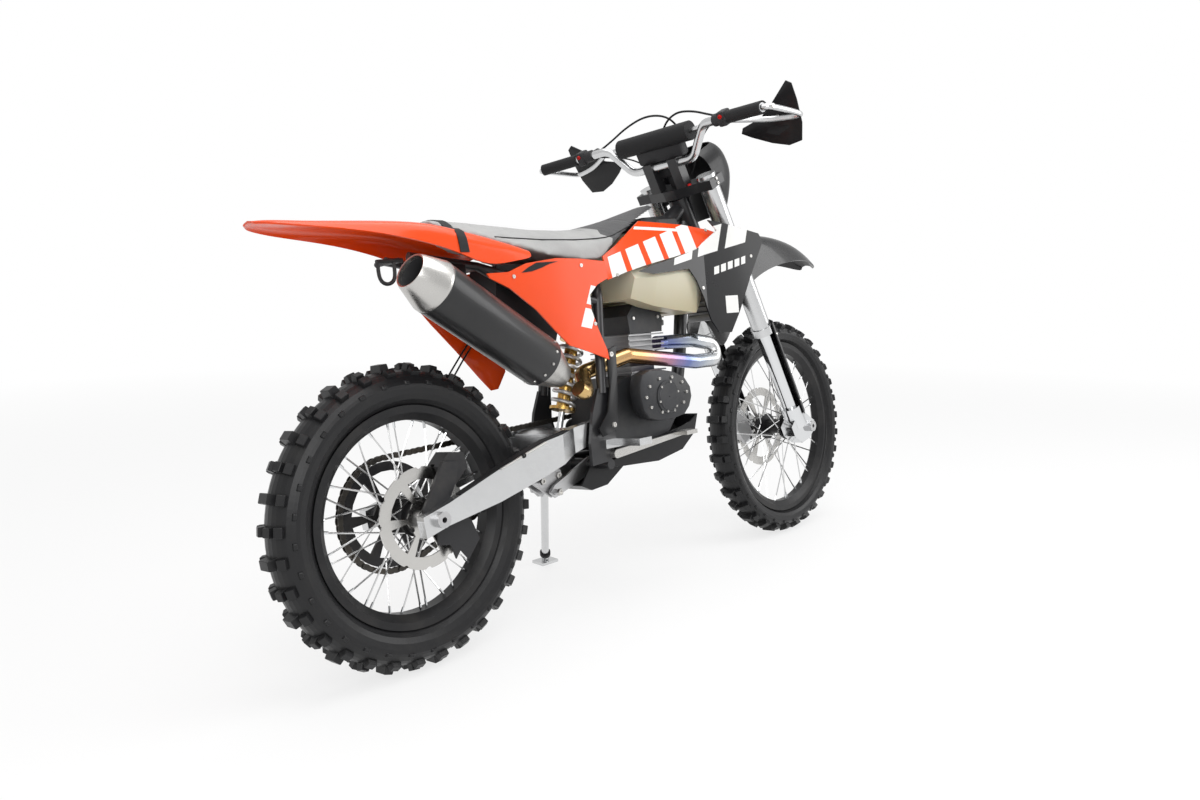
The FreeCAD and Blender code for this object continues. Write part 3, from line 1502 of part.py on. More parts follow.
def build_foot_controls():
    """The footpegs, the brake pedal and the gear lever."""
    face = z.plate_inner + z.plate_thickness
    peg = Piece("footpeg_form")
    peg.pad("XZ", [box_outline(z.peg_x - z.peg_width, z.peg_x + z.peg_width * 0.3,
                               z.peg_z - z.peg_height, z.peg_z + z.peg_height)],
            face, face + z.peg_height)
    peg.pad("XZ", [box_outline(z.peg_x - z.peg_width * 0.3, z.peg_x + z.peg_width * 0.7,
                               z.peg_z - z.peg_height * 0.6, z.peg_z + z.peg_height)],
            face + z.peg_height, z.peg_reach)
    node("footpegs", together("footpegs_form", [peg.body, flipped("footpeg_right", peg.body)]))
    pedal = Piece("brake_pedal_form")
    arm_in = face + z.link_wall
    arm_out = arm_in + z.lever_thickness
    pedal.rod((z.pedal_x, -arm_out, z.pedal_z), (z.pedal_x, -face, z.pedal_z), z.lever_height)
    pedal.pad("XZ", [[
        (z.pedal_x, z.pedal_z - z.lever_height), (z.pedal_tip_x, z.pedal_tip_z - z.lever_height),
        (z.pedal_tip_x, z.pedal_tip_z), (z.pedal_x, z.pedal_z + z.lever_height),
    ]], -arm_out, -arm_in)
    pedal.pad("XZ", [box_outline(z.pedal_tip_x - z.peg_width, z.pedal_tip_x,
                                 z.pedal_tip_z - z.lever_height, z.pedal_tip_z)],
              -arm_out - z.pedal_pad, -arm_in)
    lever = Piece("gear_lever_form")
    lever.rod((z.lever_x, z.engine_left, z.lever_z), (z.lever_x, arm_out, z.lever_z),
              z.lever_height * 0.7)
    lever.pad("XZ", [[
        (z.lever_x, z.lever_z - z.lever_height), (z.lever_tip_x, z.lever_tip_z - z.lever_height),
        (z.lever_tip_x, z.lever_tip_z), (z.lever_x, z.lever_z + z.lever_height),
    ]], arm_in, arm_out)
    lever.rod((z.lever_tip_x - z.lever_height, arm_out, z.lever_tip_z - z.lever_height / 2),
              (z.lever_tip_x - z.lever_height, arm_out + z.pedal_pad,
               z.lever_tip_z - z.lever_height / 2), z.lever_height * 0.6)
    node("foot_controls", together("foot_controls_form", [pedal.body, lever.body]))


def build_rear_caliper():
    """The rear brake caliper on its hanger, and the disc guard beside it."""
    hanger_out, hanger_in = -z.arm_inner + z.fit, -z.arm_inner + z.fit + z.hanger_thickness
    caliper = Piece("rear_caliper_form")
    hanger_shares = [(-0.22, -0.05), (0.1, -0.22), (0.62, 0.62), (0.72, 1.0), (0.35, 1.05),
                     (-0.2, 0.2)]
    reach = z.rear_disc_radius
    outline = [(reach * u, z.rear_tyre_radius + reach * v) for u, v in hanger_shares]
    caliper.pad("XZ", [outline], hanger_out, hanger_in)
    body_shares = [(0.42, 0.62), (0.66, 0.55), (0.98, 0.85), (0.92, 1.15), (0.55, 1.2),
                   (0.30, 0.95)]
    outline = [(reach * u, z.rear_tyre_radius + reach * v) for u, v in body_shares]
    caliper.pad("XZ", [outline], hanger_in, -z.disc_place + z.caliper_inside)
    slot = z.disc_thickness / 2 + z.disc_clearance
    caliper.cut("XZ", [Round(0, z.rear_tyre_radius, reach + z.disc_clearance)],
                -z.disc_place - slot, -z.disc_place + slot)
    caliper.drill((0, hanger_out, z.rear_tyre_radius), (0, hanger_in, z.rear_tyre_radius),
                  z.axle_radius + z.axle_spacer_wall + z.fit)
    node("rear_caliper", caliper.body)
    guard = Piece("rear_disc_guard_form")
    fin_shares = [(0.12, -0.2), (0.3, -0.12), (0.55, 0.0), (0.95, -0.2), (1.12, -0.62),
                  (0.8, -0.98), (0.62, -0.75), (0.5, -0.9), (0.4, -0.6), (0.1, -0.55)]
    outline = [(reach * u, z.rear_tyre_radius + reach * v) for u, v in fin_shares]
    guard.pad("XZ", [outline], hanger_in, hanger_in + z.panel_wall)
    node("rear_disc_guard", guard.body)


def build_side_stand():
    """The side stand, its foot flat on the ground that the machine leans over."""
    pivot, axis, leg_way, foot = stand_frame()
    end = along(foot, leg_way, -z.stand_radius)
    leg = Piece("stand_leg")
    leg.rod(pivot, end, z.stand_radius)
    low = along(pivot, axis, -z.stand_boss_half)
    high = along(pivot, axis, z.stand_boss_half)
    leg.rod(low, high, z.stand_boss_radius)
    leg.drill(low, high, z.stand_pin_radius + z.fit)
    pad = Piece("stand_foot")
    half = z.stand_foot_length / 2
    width = z.stand_foot_width / 2
    pad.pad("XY", [box_outline(-half, half, -width, width)], 0, z.stand_foot_thickness)
    placed(pad.body, Placement(spot(foot), Rotation(Vector(1, 0, 0), float(z.lean_deg))))
    node("side_stand", joined("side_stand_form", [leg.body, pad.body]))
    return pivot, foot


# Steering: everything here is drawn along the steering axis

def leg_pair(label, draw):
    """A piece with the same form on the left and the right fork leg."""
    piece = Piece(label)
    for side in (1, -1):
        draw(piece, side)
    return piece.body


def build_fork():
    """The clamps with their stem, the fork tubes, the legs with their lugs, and the guards."""
    clamps = Piece("triple_clamps_form")
    reach = z.clamp_reach
    clamp_shares = [(0.41, 1.0), (0.44, 0.58), (0.30, 0.22), (0.30, -0.22), (0.44, -0.58),
                    (0.41, -1.0), (-0.08, -1.0), (-0.08, -0.66), (-0.22, -0.15),
                    (-0.22, 0.15), (-0.08, 0.66), (-0.08, 1.0)]
    outline = [(reach * u, reach * v) for u, v in clamp_shares]
    half = z.clamp_thickness / 2
    for place in (z.lower_clamp, z.upper_clamp):
        clamps.pad("XY", [outline], place - half, place + half)
    clamps.rod((0, 0, z.lower_clamp - half), (0, 0, z.upper_clamp + half), z.stem_radius)
    for side in (1, -1):
        middle = side * z.riser_place
        clamps.pad("XY", [box_outline(z.bar_mid_along - z.riser_width, z.bar_mid_along
                                      + z.riser_width, middle - z.riser_width,
                                      middle + z.riser_width)],
                   z.upper_clamp + half, z.bar_mid_up + z.riser_width)
    for side in (1, -1):
        clamps.drill((z.leg_offset, side * z.leg_place, z.lower_clamp - half),
                     (z.leg_offset, side * z.leg_place, z.upper_clamp + half),
                     z.leg_outer_radius + z.fit)
    clamps.drill((z.bar_mid_along, -z.riser_place * 2, z.bar_mid_up),
                 (z.bar_mid_along, z.riser_place * 2, z.bar_mid_up), z.bar_radius + z.fit)
    node("triple_clamps", clamps.body, STEERING)

    def draw_tube(piece, side):
        x, y = z.leg_offset, side * z.leg_place
        piece.rod((x, y, z.leg_seal), (x, y, z.leg_top), z.leg_outer_radius)
        piece.rod((x, y, z.leg_seal), (x, y, z.leg_seal + z.collar_height), z.collar_radius)
        piece.drill((x, y, z.leg_seal), (x, y, z.leg_top - z.panel_wall * 3),
                    z.leg_inner_radius + z.fit)

    def draw_leg(piece, side):
        x, y = z.leg_offset, side * z.leg_place
        piece.rod((x, y, z.lug_neck_low), (x, y, z.leg_inner_top), z.leg_inner_radius)
        piece.rod((x, y, z.lug_neck_low), (x, y, z.lug_neck),
                  z.guard_inner_radius * z.guard_neck_share)
        lug_shares = [(-0.15, -0.5), (0.6, -0.75), (1.25, -0.6), (1.6, 0), (1.3, 0.6), (1.0, 1.3),
                      (-0.1, 1.5), (-0.6, 1.3), (-0.6, 0.5)]
        outline = [(z.axle_offset * u, z.lug_height * v) for u, v in lug_shares]
        piece.pad("XZ", [outline], y - z.lug_half_width, y + z.lug_half_width)
        piece.drill((z.axle_offset, y - z.lug_half_width, 0), (z.axle_offset,
                    y + z.lug_half_width, 0), z.axle_radius + z.fit)

    def draw_guard(piece, side):
        x, y = z.leg_offset, side * z.leg_place
        points = []
        for radius, turns in ((z.guard_inner_radius + z.panel_wall, (-48, -16, 16, 48, 80)),
                              (z.guard_inner_radius, (80, 48, 16, -16, -48))):
            for turn in turns:
                angle = math.radians(turn * side)
                points.append((x + radius * math.cos(angle), y + radius * math.sin(angle)))
        piece.pad("XY", [points], z.guard_low, z.guard_high)

    node("fork_tubes", leg_pair("fork_tubes_form", draw_tube), STEERING)
    node("fork_legs", leg_pair("fork_legs_form", draw_leg), STEERING)
    node("fork_guards", leg_pair("fork_guards_form", draw_guard), STEERING)


def build_front_fender():
    """The front fender, an arch over the wheel held under the lower clamp."""
    fender = Piece("front_fender_form")
    arch_shares = [
        (0, 0.80, 0.10, 0.62, 0.38, 0.50), (0.13, 0.92, 0.28, 0.76, 0.66, 0.78),
        (0.25, 0.92, 0.46, 0.80, 0.88, 1.0), (0.42, 0.95, 0.50, 0.82, 0.86, 0.98),
        (0.60, 1.0, 0.42, 0.82, 0.68, 0.82), (0.80, 0.92, 0.28, 0.74, 0.38, 0.50),
        (0.93, 0.72, 0.10, 0.56, 0.14, 0.22), (1.0, 0.50, 0, 0.36, 0.02, 0.04),
    ]
    width, low, height = z.front_fender_half_width, z.front_fender_low, z.front_fender_height
    fender.loft("YZ", [
        (z.front_fender_rear + z.front_fender_length * s, shell_section(
            width * a, low + height * b, width * c, low + height * d, low + height * e,
            z.panel_wall))
        for s, a, b, c, d, e in arch_shares
    ])
    mount = [box_outline(z.fender_mount_rear, z.fender_mount_rear + z.fender_mount_length,
                         -z.fender_mount_half_width, z.fender_mount_half_width)]
    fender.pad("XY", mount, low + height - z.panel_wall * 2, z.lower_clamp - z.fit)
    node("front_fender", fender.body, STEERING)


def build_number_plate():
    """The front number plate, a curved shield ahead of the fork."""
    plan_shares = [(0, 1.0), (0.35, 0.98), (0.85, 0.6), (1.0, 0.25)]
    outer = [(z.mask_rear + z.mask_depth * u, z.mask_half_width * v) for u, v in plan_shares]
    inner = [(u - z.panel_wall * t, v - z.panel_wall * c)
             for (u, v), (t, c) in zip(outer, MASK_INSET_SHARES)]
    plan = outer + [(u, -v) for u, v in reversed(outer)] + [(u, -v) for u, v in inner] \
        + list(reversed(inner))
    side_shares = [(0, 0.80), (0.2, 0.98), (0.72, 1.0), (1.05, 0.52), (0.45, 0), (0.12, 0.1)]
    outline = corners(side_shares, z.mask_rear, z.mask_low, z.mask_depth, z.mask_height)
    front_shares = [(0.62, 1.0), (1.0, 0.75), (1.0, 0.45), (0.55, 0)]
    front = [(z.mask_half_width * u * 1.02, z.mask_low + z.mask_height * v) for u, v in front_shares]
    mask = shared("mask_whole", [
        block("mask_plan", "XY", [plan], z.mask_low - z.overrun, z.mask_low + z.mask_height
              + z.overrun),
        block("mask_side", "XZ", [outline], -z.mask_half_width * 1.1, z.mask_half_width * 1.1),
        block("mask_front", "YZ", [mirrored(front)], 0, z.mask_depth * 2),
    ])
    straps = Piece("mask_straps")
    front = z.leg_offset + z.leg_outer_radius + z.fit
    for side in (1, -1):
        middle = z.leg_place * side
        straps.pad(
            "XY", [box_outline(front, z.mask_rear + z.mask_depth * 0.15,
                               middle - z.strap_half_width, middle + z.strap_half_width)],
            z.strap_low, z.strap_low + z.strap_height,
        )
    node("number_plate", joined("number_plate_form", [mask, straps.body]), STEERING)


MASK_INSET_SHARES = ((0, 1.0), (0.3, 1.0), (0.9, 0.8), (1.0, 0.3))


def bar_point(share):
    """A point along the right half of the handlebar's outer run."""
    return (
        z.bar_bend_along + (z.bar_end_along - z.bar_bend_along) * share,
        z.bar_bend_place + (z.bar_half_width - z.bar_bend_place) * share,
        z.bar_bend_up + (z.bar_end_up - z.bar_bend_up) * share,
    )


def across(point, side):
    """A point moved to the left (1) or right (-1) side."""
    return point[0], side * point[1], point[2]


def build_handlebar():
    """The handlebar with its crossbar, pad, grips, perches, levers and handguards."""
    half = [bar_point(0), (z.bar_mid_along, z.bar_rise_place, z.bar_mid_up)]
    points = [across(bar_point(1), -1), across(half[0], -1), across(half[1], -1)]
    points += [half[1], half[0], bar_point(1)]
    bar = tube("bar_tube", points, z.bar_radius, z.bar_radius * 3.5)
    cross = Piece("crossbar")
    crossing = (z.cross_along, z.cross_place, z.cross_up)
    cross.rod(across(crossing, -1), crossing, z.bar_radius * 0.6)
    node("handlebar", joined("handlebar_form", [bar, cross.body]), STEERING)
    pad = Piece("bar_pad_form")
    length, radius = z.bar_pad_half_length, z.bar_pad_radius
    pad.rod((z.cross_along, -length, z.cross_up), (z.cross_along, length, z.cross_up), radius)
    pad.drill((z.cross_along, -length, z.cross_up), (z.cross_along, length, z.cross_up),
              z.bar_radius * 0.6 + z.fit)
    node("bar_pad", pad.body, STEERING)
    run = float(apart(bar_point(0), bar_point(1)))
    grip_share = z.grip_length / run
    clear = z.bar_radius + z.fit
    grips, controls, guards = [], [], []
    for name, side in (("left", 1), ("right", -1)):
        grip = Piece(f"grip_{name}_form")
        start, end = across(bar_point(1 - grip_share), side), across(bar_point(1), side)
        grip.rod(start, end, z.grip_radius)
        grip.drill(start, end, clear)
        grips.append(grip.body)
        perch = Piece(f"perch_{name}_form")
        inner = across(bar_point(1 - grip_share * 1.45), side)
        outer = across(bar_point(1 - grip_share * 1.1), side)
        perch.rod(inner, outer, z.perch_radius)
        knuckle = (inner[0] + z.perch_radius * 1.7, inner[1], inner[2])
        perch.rod(inner, knuckle, z.perch_radius * 0.7)
        tip_at = across(bar_point(1 - grip_share * 0.15), side)
        tip = (tip_at[0] + z.lever_gap, tip_at[1], tip_at[2] - z.lever_gap * 0.2)
        perch.rod(knuckle, tip, z.lever_radius)
        perch.drill(across(bar_point(0.1), side), across(bar_point(1), side), clear)
        controls.append(perch.body)
        guards += handguard(name, side)
    node("grips", together("grips_form", grips), STEERING)
    node("bar_controls", together("bar_controls_form", controls), STEERING)
    node("handguards", together("handguards_form", guards), STEERING)


def handguard(name, side):
    """One handguard: a flat bar from the end of the handlebar and a shield ahead of it."""
    end = bar_point(1)
    cap = z.grip_radius * 0.8
    out = end[1] + cap + z.guard_bar_radius
    points = [
        (end[0], end[1] + z.guard_bar_radius * 0.29, end[2]), (end[0], out, end[2]),
        (z.guard_along, out, z.guard_up),
        (z.guard_along - cap, z.guard_mid_place, z.guard_up + cap),
        (z.guard_end_along, z.guard_end_place, z.guard_end_up),
    ]
    label = f"handguard_{name}"
    bar = tube(f"{label}_bar", [across(p, side) for p in points], z.guard_bar_radius, cap * 0.5)
    shield = Piece(f"{label}_shield")
    low = z.guard_up - z.shield_drop
    shield_shares = [(0, 0.5), (0.15, 0.15), (0.55, 0), (0.95, 0.25), (1.0, 0.6), (0.85, 1.0),
                     (0.7, 0.7), (0.3, 0.62)]
    length = end[1] + cap - z.shield_inner_place
    outline = [(side * (z.shield_inner_place + length * u), low + z.shield_height * v)
               for u, v in shield_shares]
    ahead = z.guard_along + z.guard_bar_radius
    shield.pad("YZ", [outline], ahead, ahead + z.panel_wall)
    seat = across(points[3], side)
    shield.rod((seat[0] + z.guard_bar_radius + z.fit, seat[1], seat[2]),
               (ahead + z.panel_wall / 2, seat[1], seat[2]), z.guard_bar_radius * 0.6)
    room = tube(f"{label}_room", [across(p, side) for p in points],
                z.guard_bar_radius + z.fit, cap * 0.5)
    return [bar, less(f"{label}_shield_cut", shield.body, room)]


def build_front_caliper():
    """The front brake caliper on the left leg."""
    caliper = Piece("front_caliper_form")
    body_shares = [(-0.98, 0.12), (-0.57, 0.17), (-0.57, 0.62), (-0.66, 0.98), (-0.86, 0.95),
                   (-1.08, 0.6)]
    reach = z.front_disc_radius
    outline = [(z.axle_offset + reach * u, reach * v) for u, v in body_shares]
    face = z.leg_place - z.lug_half_width
    caliper.pad("XZ", [outline], z.disc_place - z.caliper_inside, face)
    slot = z.disc_thickness / 2 + z.disc_clearance
    caliper.cut("XZ", [Round(z.axle_offset, 0, reach + z.disc_clearance)],
                z.disc_place - slot, z.disc_place + slot)
    node("front_caliper", caliper.body, STEERING)


# Assembly: lean the machine over, stand it on the floor and write it out

def check_objects():
    """Stops if any object of the document could not be made."""
    failed = [item.Label for item in doc.Objects
              if "Invalid" in item.State or "Error" in item.State]
    if failed:
        raise RuntimeError(f"These could not be made: {failed}")


def finish(points):
    """Leans and places every node, checks it and writes its file."""
    lean = Placement(Vector(0, 0, 0), Rotation(Vector(1, 0, 0), -float(z.lean_deg)))
    wrapped = []
    for label, item, frame in nodes:
        item.Label = f"{label}_form"
        shown = doc.addObject("Part::Compound", label)
        shown.Label = label
        shown.Links = [item]
        shown.Placement = lean * frame
        wrapped.append(shown)
    doc.recompute()
    check_objects()
    box = FreeCAD.BoundBox()
    for shown in wrapped:
        box.add(shown.Shape.optimalBoundingBox(False))
    shift = Placement(Vector(-box.Center.x, -box.Center.y, -box.ZMin), Rotation())
    for shown in wrapped:
        shown.Placement = shift * shown.Placement
    doc.recompute()
    check_objects()
    os.makedirs("parts", exist_ok=True)
    for shown in wrapped:
        shape = shown.Shape
        if shape.isNull() or not shape.isValid() or not shape.Solids:
            raise RuntimeError(f"{shown.Label} is not a valid solid")
        shape.exportStep(f"parts/{shown.Label}.step")
        print(f"NODE {shown.Label} solids {len(shape.Solids)} volume {shape.Volume:.0f}")
    print(f"SIZE {box.XLength:.1f} {box.YLength:.1f} {box.ZLength:.1f}")
    whole = shift * lean
    for name, point in points.items():
        place = whole.multVec(spot(point))
        print(f"POINT {name} {place.x:.3f} {place.y:.3f} {place.z:.3f}")


def main():
    """Builds every sub-part and writes the parts."""
    build_wheels()
    build_frame()
    build_swingarm()
    build_chain()
    build_engine()
    build_exhaust()
    seat = build_seat_and_tank()
    build_panels(seat)
    build_skid_plate()
    build_suspension()
    build_foot_controls()
    build_rear_caliper()
    pivot, foot = build_side_stand()
    build_fork()
    build_front_fender()
    build_number_plate()
    build_handlebar()
    build_front_caliper()
    finish({
        "origin": (0, 0, 0),
        "along_y": (0, 1, 0),
        "along_z": (0, 0, 1),
        "rear_axle": (0, 0, z.rear_tyre_radius),
        "rear_axle_right": (0, -z.arm_outer - z.axle_nut_length, z.rear_tyre_radius),
        "front_axle": (z.wheelbase, 0, z.front_tyre_radius),
        "steering": (steer_x, 0, steer_z),
        "stand_pivot": pivot,
        "stand_foot": foot,
    })


main()
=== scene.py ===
"""Dresses the parked enduro motorcycle: finishes, soft goods, small fittings, stage and camera.

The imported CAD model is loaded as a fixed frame. Pieces made here stand in its row frame, in metres.
They are drawn in millimetres on the upright machine, on its steering axis or, in metres, on an axle.
"""

from __future__ import annotations

import logging
import math
from dataclasses import dataclass
from enum import Enum
from typing import Callable, Sequence

import bmesh
import bpy
from mathutils import Matrix, Vector
from mathutils.bvhtree import BVHTree

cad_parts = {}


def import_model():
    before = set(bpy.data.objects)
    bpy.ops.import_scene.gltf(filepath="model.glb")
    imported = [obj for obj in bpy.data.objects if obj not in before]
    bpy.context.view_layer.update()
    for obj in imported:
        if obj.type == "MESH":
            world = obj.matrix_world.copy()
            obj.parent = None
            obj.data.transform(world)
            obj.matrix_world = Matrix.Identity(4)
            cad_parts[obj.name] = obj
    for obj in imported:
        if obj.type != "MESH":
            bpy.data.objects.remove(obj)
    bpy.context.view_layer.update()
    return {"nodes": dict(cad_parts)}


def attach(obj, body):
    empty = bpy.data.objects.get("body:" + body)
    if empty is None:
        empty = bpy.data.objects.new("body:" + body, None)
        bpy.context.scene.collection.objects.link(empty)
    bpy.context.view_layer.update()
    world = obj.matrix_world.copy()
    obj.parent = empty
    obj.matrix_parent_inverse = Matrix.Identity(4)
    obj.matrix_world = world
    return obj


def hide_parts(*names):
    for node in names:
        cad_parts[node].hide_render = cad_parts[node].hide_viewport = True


LOG = logging.getLogger("enduro")
Colour = tuple[float, float, float]
Point = tuple[float, float, float]
Outline = tuple[tuple[float, float], ...]
Spot = tuple[Vector, Vector]
MM = 0.001
ROW = Matrix()
SIDES = ((-1, "right"), (1, "left"))


class Body(str, Enum):
    """The rigid bodies of the machine."""

    FRAME = "frame"
    STEERING = "steering"
    FRONT_WHEEL = "front_wheel"
    REAR_WHEEL = "rear_wheel"
    STAND = "side_stand"


@dataclass(frozen=True)
class Posture:
    """How the upright machine stands in the row frame: leaned on its stand and shifted."""

    lean_deg: float = 7.0
    origin: Point = (-0.740089, -0.149289, 0.000447)
    rake_deg: float = 26.5
    steer_x: float = 1.416989
    steer_z: float = 0.321567
    wheelbase: float = 1.468
    rear_radius: float = 0.335
    front_radius: float = 0.347

    def home(self, body: Body) -> Matrix:
        """The matrix from the frame in which a body's pieces are drawn to the row frame."""
        machine = Matrix.Translation(self.origin) @ Matrix.Rotation(-math.radians(self.lean_deg), 4, "X")
        if body is Body.STEERING:
            rake = Matrix.Rotation(-math.radians(self.rake_deg), 4, "Y")
            return machine @ Matrix.Translation((self.steer_x, 0, self.steer_z)) @ rake
        if body is Body.REAR_WHEEL:
            return machine @ Matrix.Translation((0, 0, self.rear_radius))
        if body is Body.FRONT_WHEEL:
            return machine @ Matrix.Translation((self.wheelbase, 0, self.front_radius))
        return machine


POSTURE = Posture()
MACHINE = POSTURE.home(Body.FRAME)
STEERING = POSTURE.home(Body.STEERING)


# Nodes and shader maths


def operator(operation: str, swapped: bool = False) -> Callable[["Term", "Term | float"], "Term"]:
    """An operator of Term that adds one Math node.

    Args:
        operation: the node's operation.
        swapped: whether the Term is the second value.

    Returns:
        The method.
    """

    def apply(term: "Term", other: "Term | float") -> "Term":
        """The result of the operation."""
        return term.nodes.math(operation, *((other, term) if swapped else (term, other)))

    return apply


class Term:
    """A value socket whose operators add Math nodes. Comparisons give one or nought."""

    __add__, __radd__ = operator("ADD"), operator("ADD", True)
    __sub__, __rsub__ = operator("SUBTRACT"), operator("SUBTRACT", True)
    __mul__, __rmul__ = operator("MULTIPLY"), operator("MULTIPLY", True)
    __truediv__, __rtruediv__ = operator("DIVIDE"), operator("DIVIDE", True)
    __gt__, __lt__ = operator("GREATER_THAN"), operator("LESS_THAN")

    def __init__(self, nodes: "Nodes", socket: bpy.types.NodeSocket) -> None:
        """Wraps a socket of a tree."""
        self.nodes = nodes
        self.socket = socket

    def clamped(self) -> "Term":
        """The value held between nought and one."""
        term = self + 0.0
        term.socket.node.use_clamp = True
        return term

    def fraction(self) -> "Term":
        """The fractional part of the value."""
        return self.nodes.math("FRACT", self)

    def size(self) -> "Term":
        """The absolute value."""
        return self.nodes.math("ABSOLUTE", self)


class Nodes:
    """Adds nodes to one tree and joins them."""

    def __init__(self, tree: bpy.types.NodeTree) -> None:
        """Starts with an emptied tree."""
        self.tree = tree
        tree.nodes.clear()

    def node(self, kind: str, settings: dict | None = None, inputs: dict | None = None) -> bpy.types.Node:
        """Adds a node.

        Args:
            kind: the node's type name.
            settings: attributes that are set before the inputs.
            inputs: socket names or numbers, each to a value, a socket or a Term.

        Returns:
            The new node.
        """
        made = self.tree.nodes.new(kind)
        for key, value in (settings or {}).items():
            setattr(made, key, value)
        for key, value in (inputs or {}).items():
            self.feed(made.inputs[key], value)
        return made

    def feed(self, socket: bpy.types.NodeSocket, value: object) -> None:
        """Links or sets one input socket."""
        if isinstance(value, Term):
            value = value.socket
        if isinstance(value, bpy.types.NodeSocket):
            self.tree.links.new(value, socket)
        else:
            if socket.type == "RGBA" and len(value) == 3:
                value = (*value, 1.0)
            socket.default_value = value

    def math(self, operation: str, *values: "Term | float") -> Term:
        """A Math node's result."""
        return Term(self, self.node("ShaderNodeMath", {"operation": operation}, dict(enumerate(values))).outputs[0])

    def seen(self, gloss: float) -> Term:
        """One for camera and transmission rays and a share of it for glossy rays."""
        path = self.node("ShaderNodeLightPath").outputs
        camera, through, glossy = (Term(self, path[f"Is {kind} Ray"]) for kind in ("Camera", "Transmission", "Glossy"))
        return self.math("MAXIMUM", self.math("MAXIMUM", camera, through), glossy * gloss)


class Painter(Nodes):
    """Makes the nodes of one material."""

    def __init__(self, name: str) -> None:
        """Starts an empty material with a shader and an output."""
        self.material = bpy.data.materials.new(name)
        self.material.use_nodes = True
        super().__init__(self.material.node_tree)
        self.shader = self.node("ShaderNodeBsdfPrincipled")
        self.output = self.node("ShaderNodeOutputMaterial", None, {"Surface": self.shader.outputs["BSDF"]})

    def place(self, scale: Point = (1, 1, 1), turn: Point = (0, 0, 0), move: Point = (0, 0, 0)) -> bpy.types.NodeSocket:
        """Object coordinates moved, turned and scaled by a Mapping node."""
        source = self.node("ShaderNodeTexCoord").outputs["Object"]
        return self.node("ShaderNodeMapping", {"vector_type": "TEXTURE"}, {
            "Vector": source, "Location": move, "Rotation": turn, "Scale": scale,
        }).outputs["Vector"]

    def parts(self, upright_from: Point | None = None) -> tuple[Term, Term, Term]:
        """The object's X, Y and Z, or those of the upright machine from an origin."""
        turn = (-math.radians(POSTURE.lean_deg), 0, 0)
        vector = self.place() if upright_from is None else self.place(turn=turn, move=upright_from)
        return tuple(Term(self, part) for part in self.node("ShaderNodeSeparateXYZ", None, {0: vector}).outputs)

    def noise(self, scale: float, detail: float = 3.0, rough: float = 0.5, vector: object = None) -> Term:
        """Noise over the object between nought and one."""
        return Term(self, self.node("ShaderNodeTexNoise", None, {
            "Vector": vector or self.place(), "Scale": scale, "Detail": detail, "Roughness": rough,
        }).outputs["Fac"])

    def cells(self, scale: float) -> Term:
        """Distance to the nearest point of a cell pattern."""
        made = self.node("ShaderNodeTexVoronoi", None, {"Vector": self.place(), "Scale": scale})
        return Term(self, made.outputs["Distance"])

    def mix(self, factor: "Term | float", first: object, second: object) -> bpy.types.NodeSocket:
        """A colour between two colours."""
        inputs = {"Factor": factor, 6: first, 7: second}
        return self.node("ShaderNodeMix", {"data_type": "RGBA"}, inputs).outputs[2]

    def ramp(self, factor: Term, stops: Sequence[tuple[float, Colour]]) -> bpy.types.NodeSocket:
        """A colour looked up along a ramp."""
        made = self.node("ShaderNodeValToRGB", None, {"Fac": factor})
        elements = made.color_ramp.elements
        while len(elements) < len(stops):
            elements.new(0.5)
        for element, (place, colour) in zip(elements, stops):
            element.position = place
            element.color = (*colour, 1.0)
        return made.outputs["Color"]

    def whiten(self, share: Term) -> None:
        """Mixes a plain white into what camera, glossy and transmission rays see."""
        white = self.node("ShaderNodeEmission", None, {"Strength": 1.0})
        mixed = self.node("ShaderNodeMixShader", None, {
            0: self.seen(1.0) * share, 1: self.shader.outputs["BSDF"], 2: white.outputs[0],
        })
        self.feed(self.output.inputs["Surface"], mixed.outputs[0])

    def finish(self, height: Term | None = None, strength: float = 0.0, distance: float = 0.0,
               **inputs: object) -> bpy.types.Material:
        """Sets the shader's inputs and its bump.

        Args:
            height: what the bump follows, or None for none.
            strength: the bump's strength.
            distance: the bump's distance.
            inputs: values by input name, with spaces as underscores.

        Returns:
            The material.
        """
        for key, value in inputs.items():
            self.feed(self.shader.inputs[key.replace("_", " ")], value)
        if height is not None:
            made = self.node("ShaderNodeBump", None, {"Height": height, "Strength": strength, "Distance": distance})
            self.feed(self.shader.inputs["Normal"], made.outputs["Normal"])
        return self.material


# Finishes


@dataclass(frozen=True)
class Moulding:
    """A moulded plastic with slight mottling, a fine grain and dulled patches."""

    name: str
    colour: Colour
    roughness: float = 0.35
    mottle: float = 0.12
    grain_scale: float = 900.0
    grain: float = 0.15
    coat: float = 0.0
    shine: float = 0.25

    def build(self, painter: Painter | None = None, mark: Term | None = None,
              second: Colour | None = None) -> bpy.types.Material:
        """The finished material, with a second colour where a mark is one."""
        painter = painter or Painter(self.name)
        smear = painter.noise(14.0, 5.0, 0.6)
        dark = tuple(value * (1 - self.mottle) for value in self.colour)
        base = painter.mix(painter.noise(9.0, 4.0), dark, self.colour)
        return painter.finish(
            painter.noise(self.grain_scale, 2.0), self.grain, 0.0004,
            Base_Color=base if mark is None else painter.mix(mark, base, second),
            Roughness=self.roughness + (smear - 0.5) * 0.16,
            Coat_Weight=self.coat, Coat_Roughness=0.08, Specular_IOR_Level=self.shine)


@dataclass(frozen=True)
class Block:
    """A row of slanted plain blocks on a side panel, in the upright machine's X and Z."""

    start: tuple[float, float]
    turn_deg: float
    length: float
    half_height: float
    pitch: float
    fill: float
    slant: float


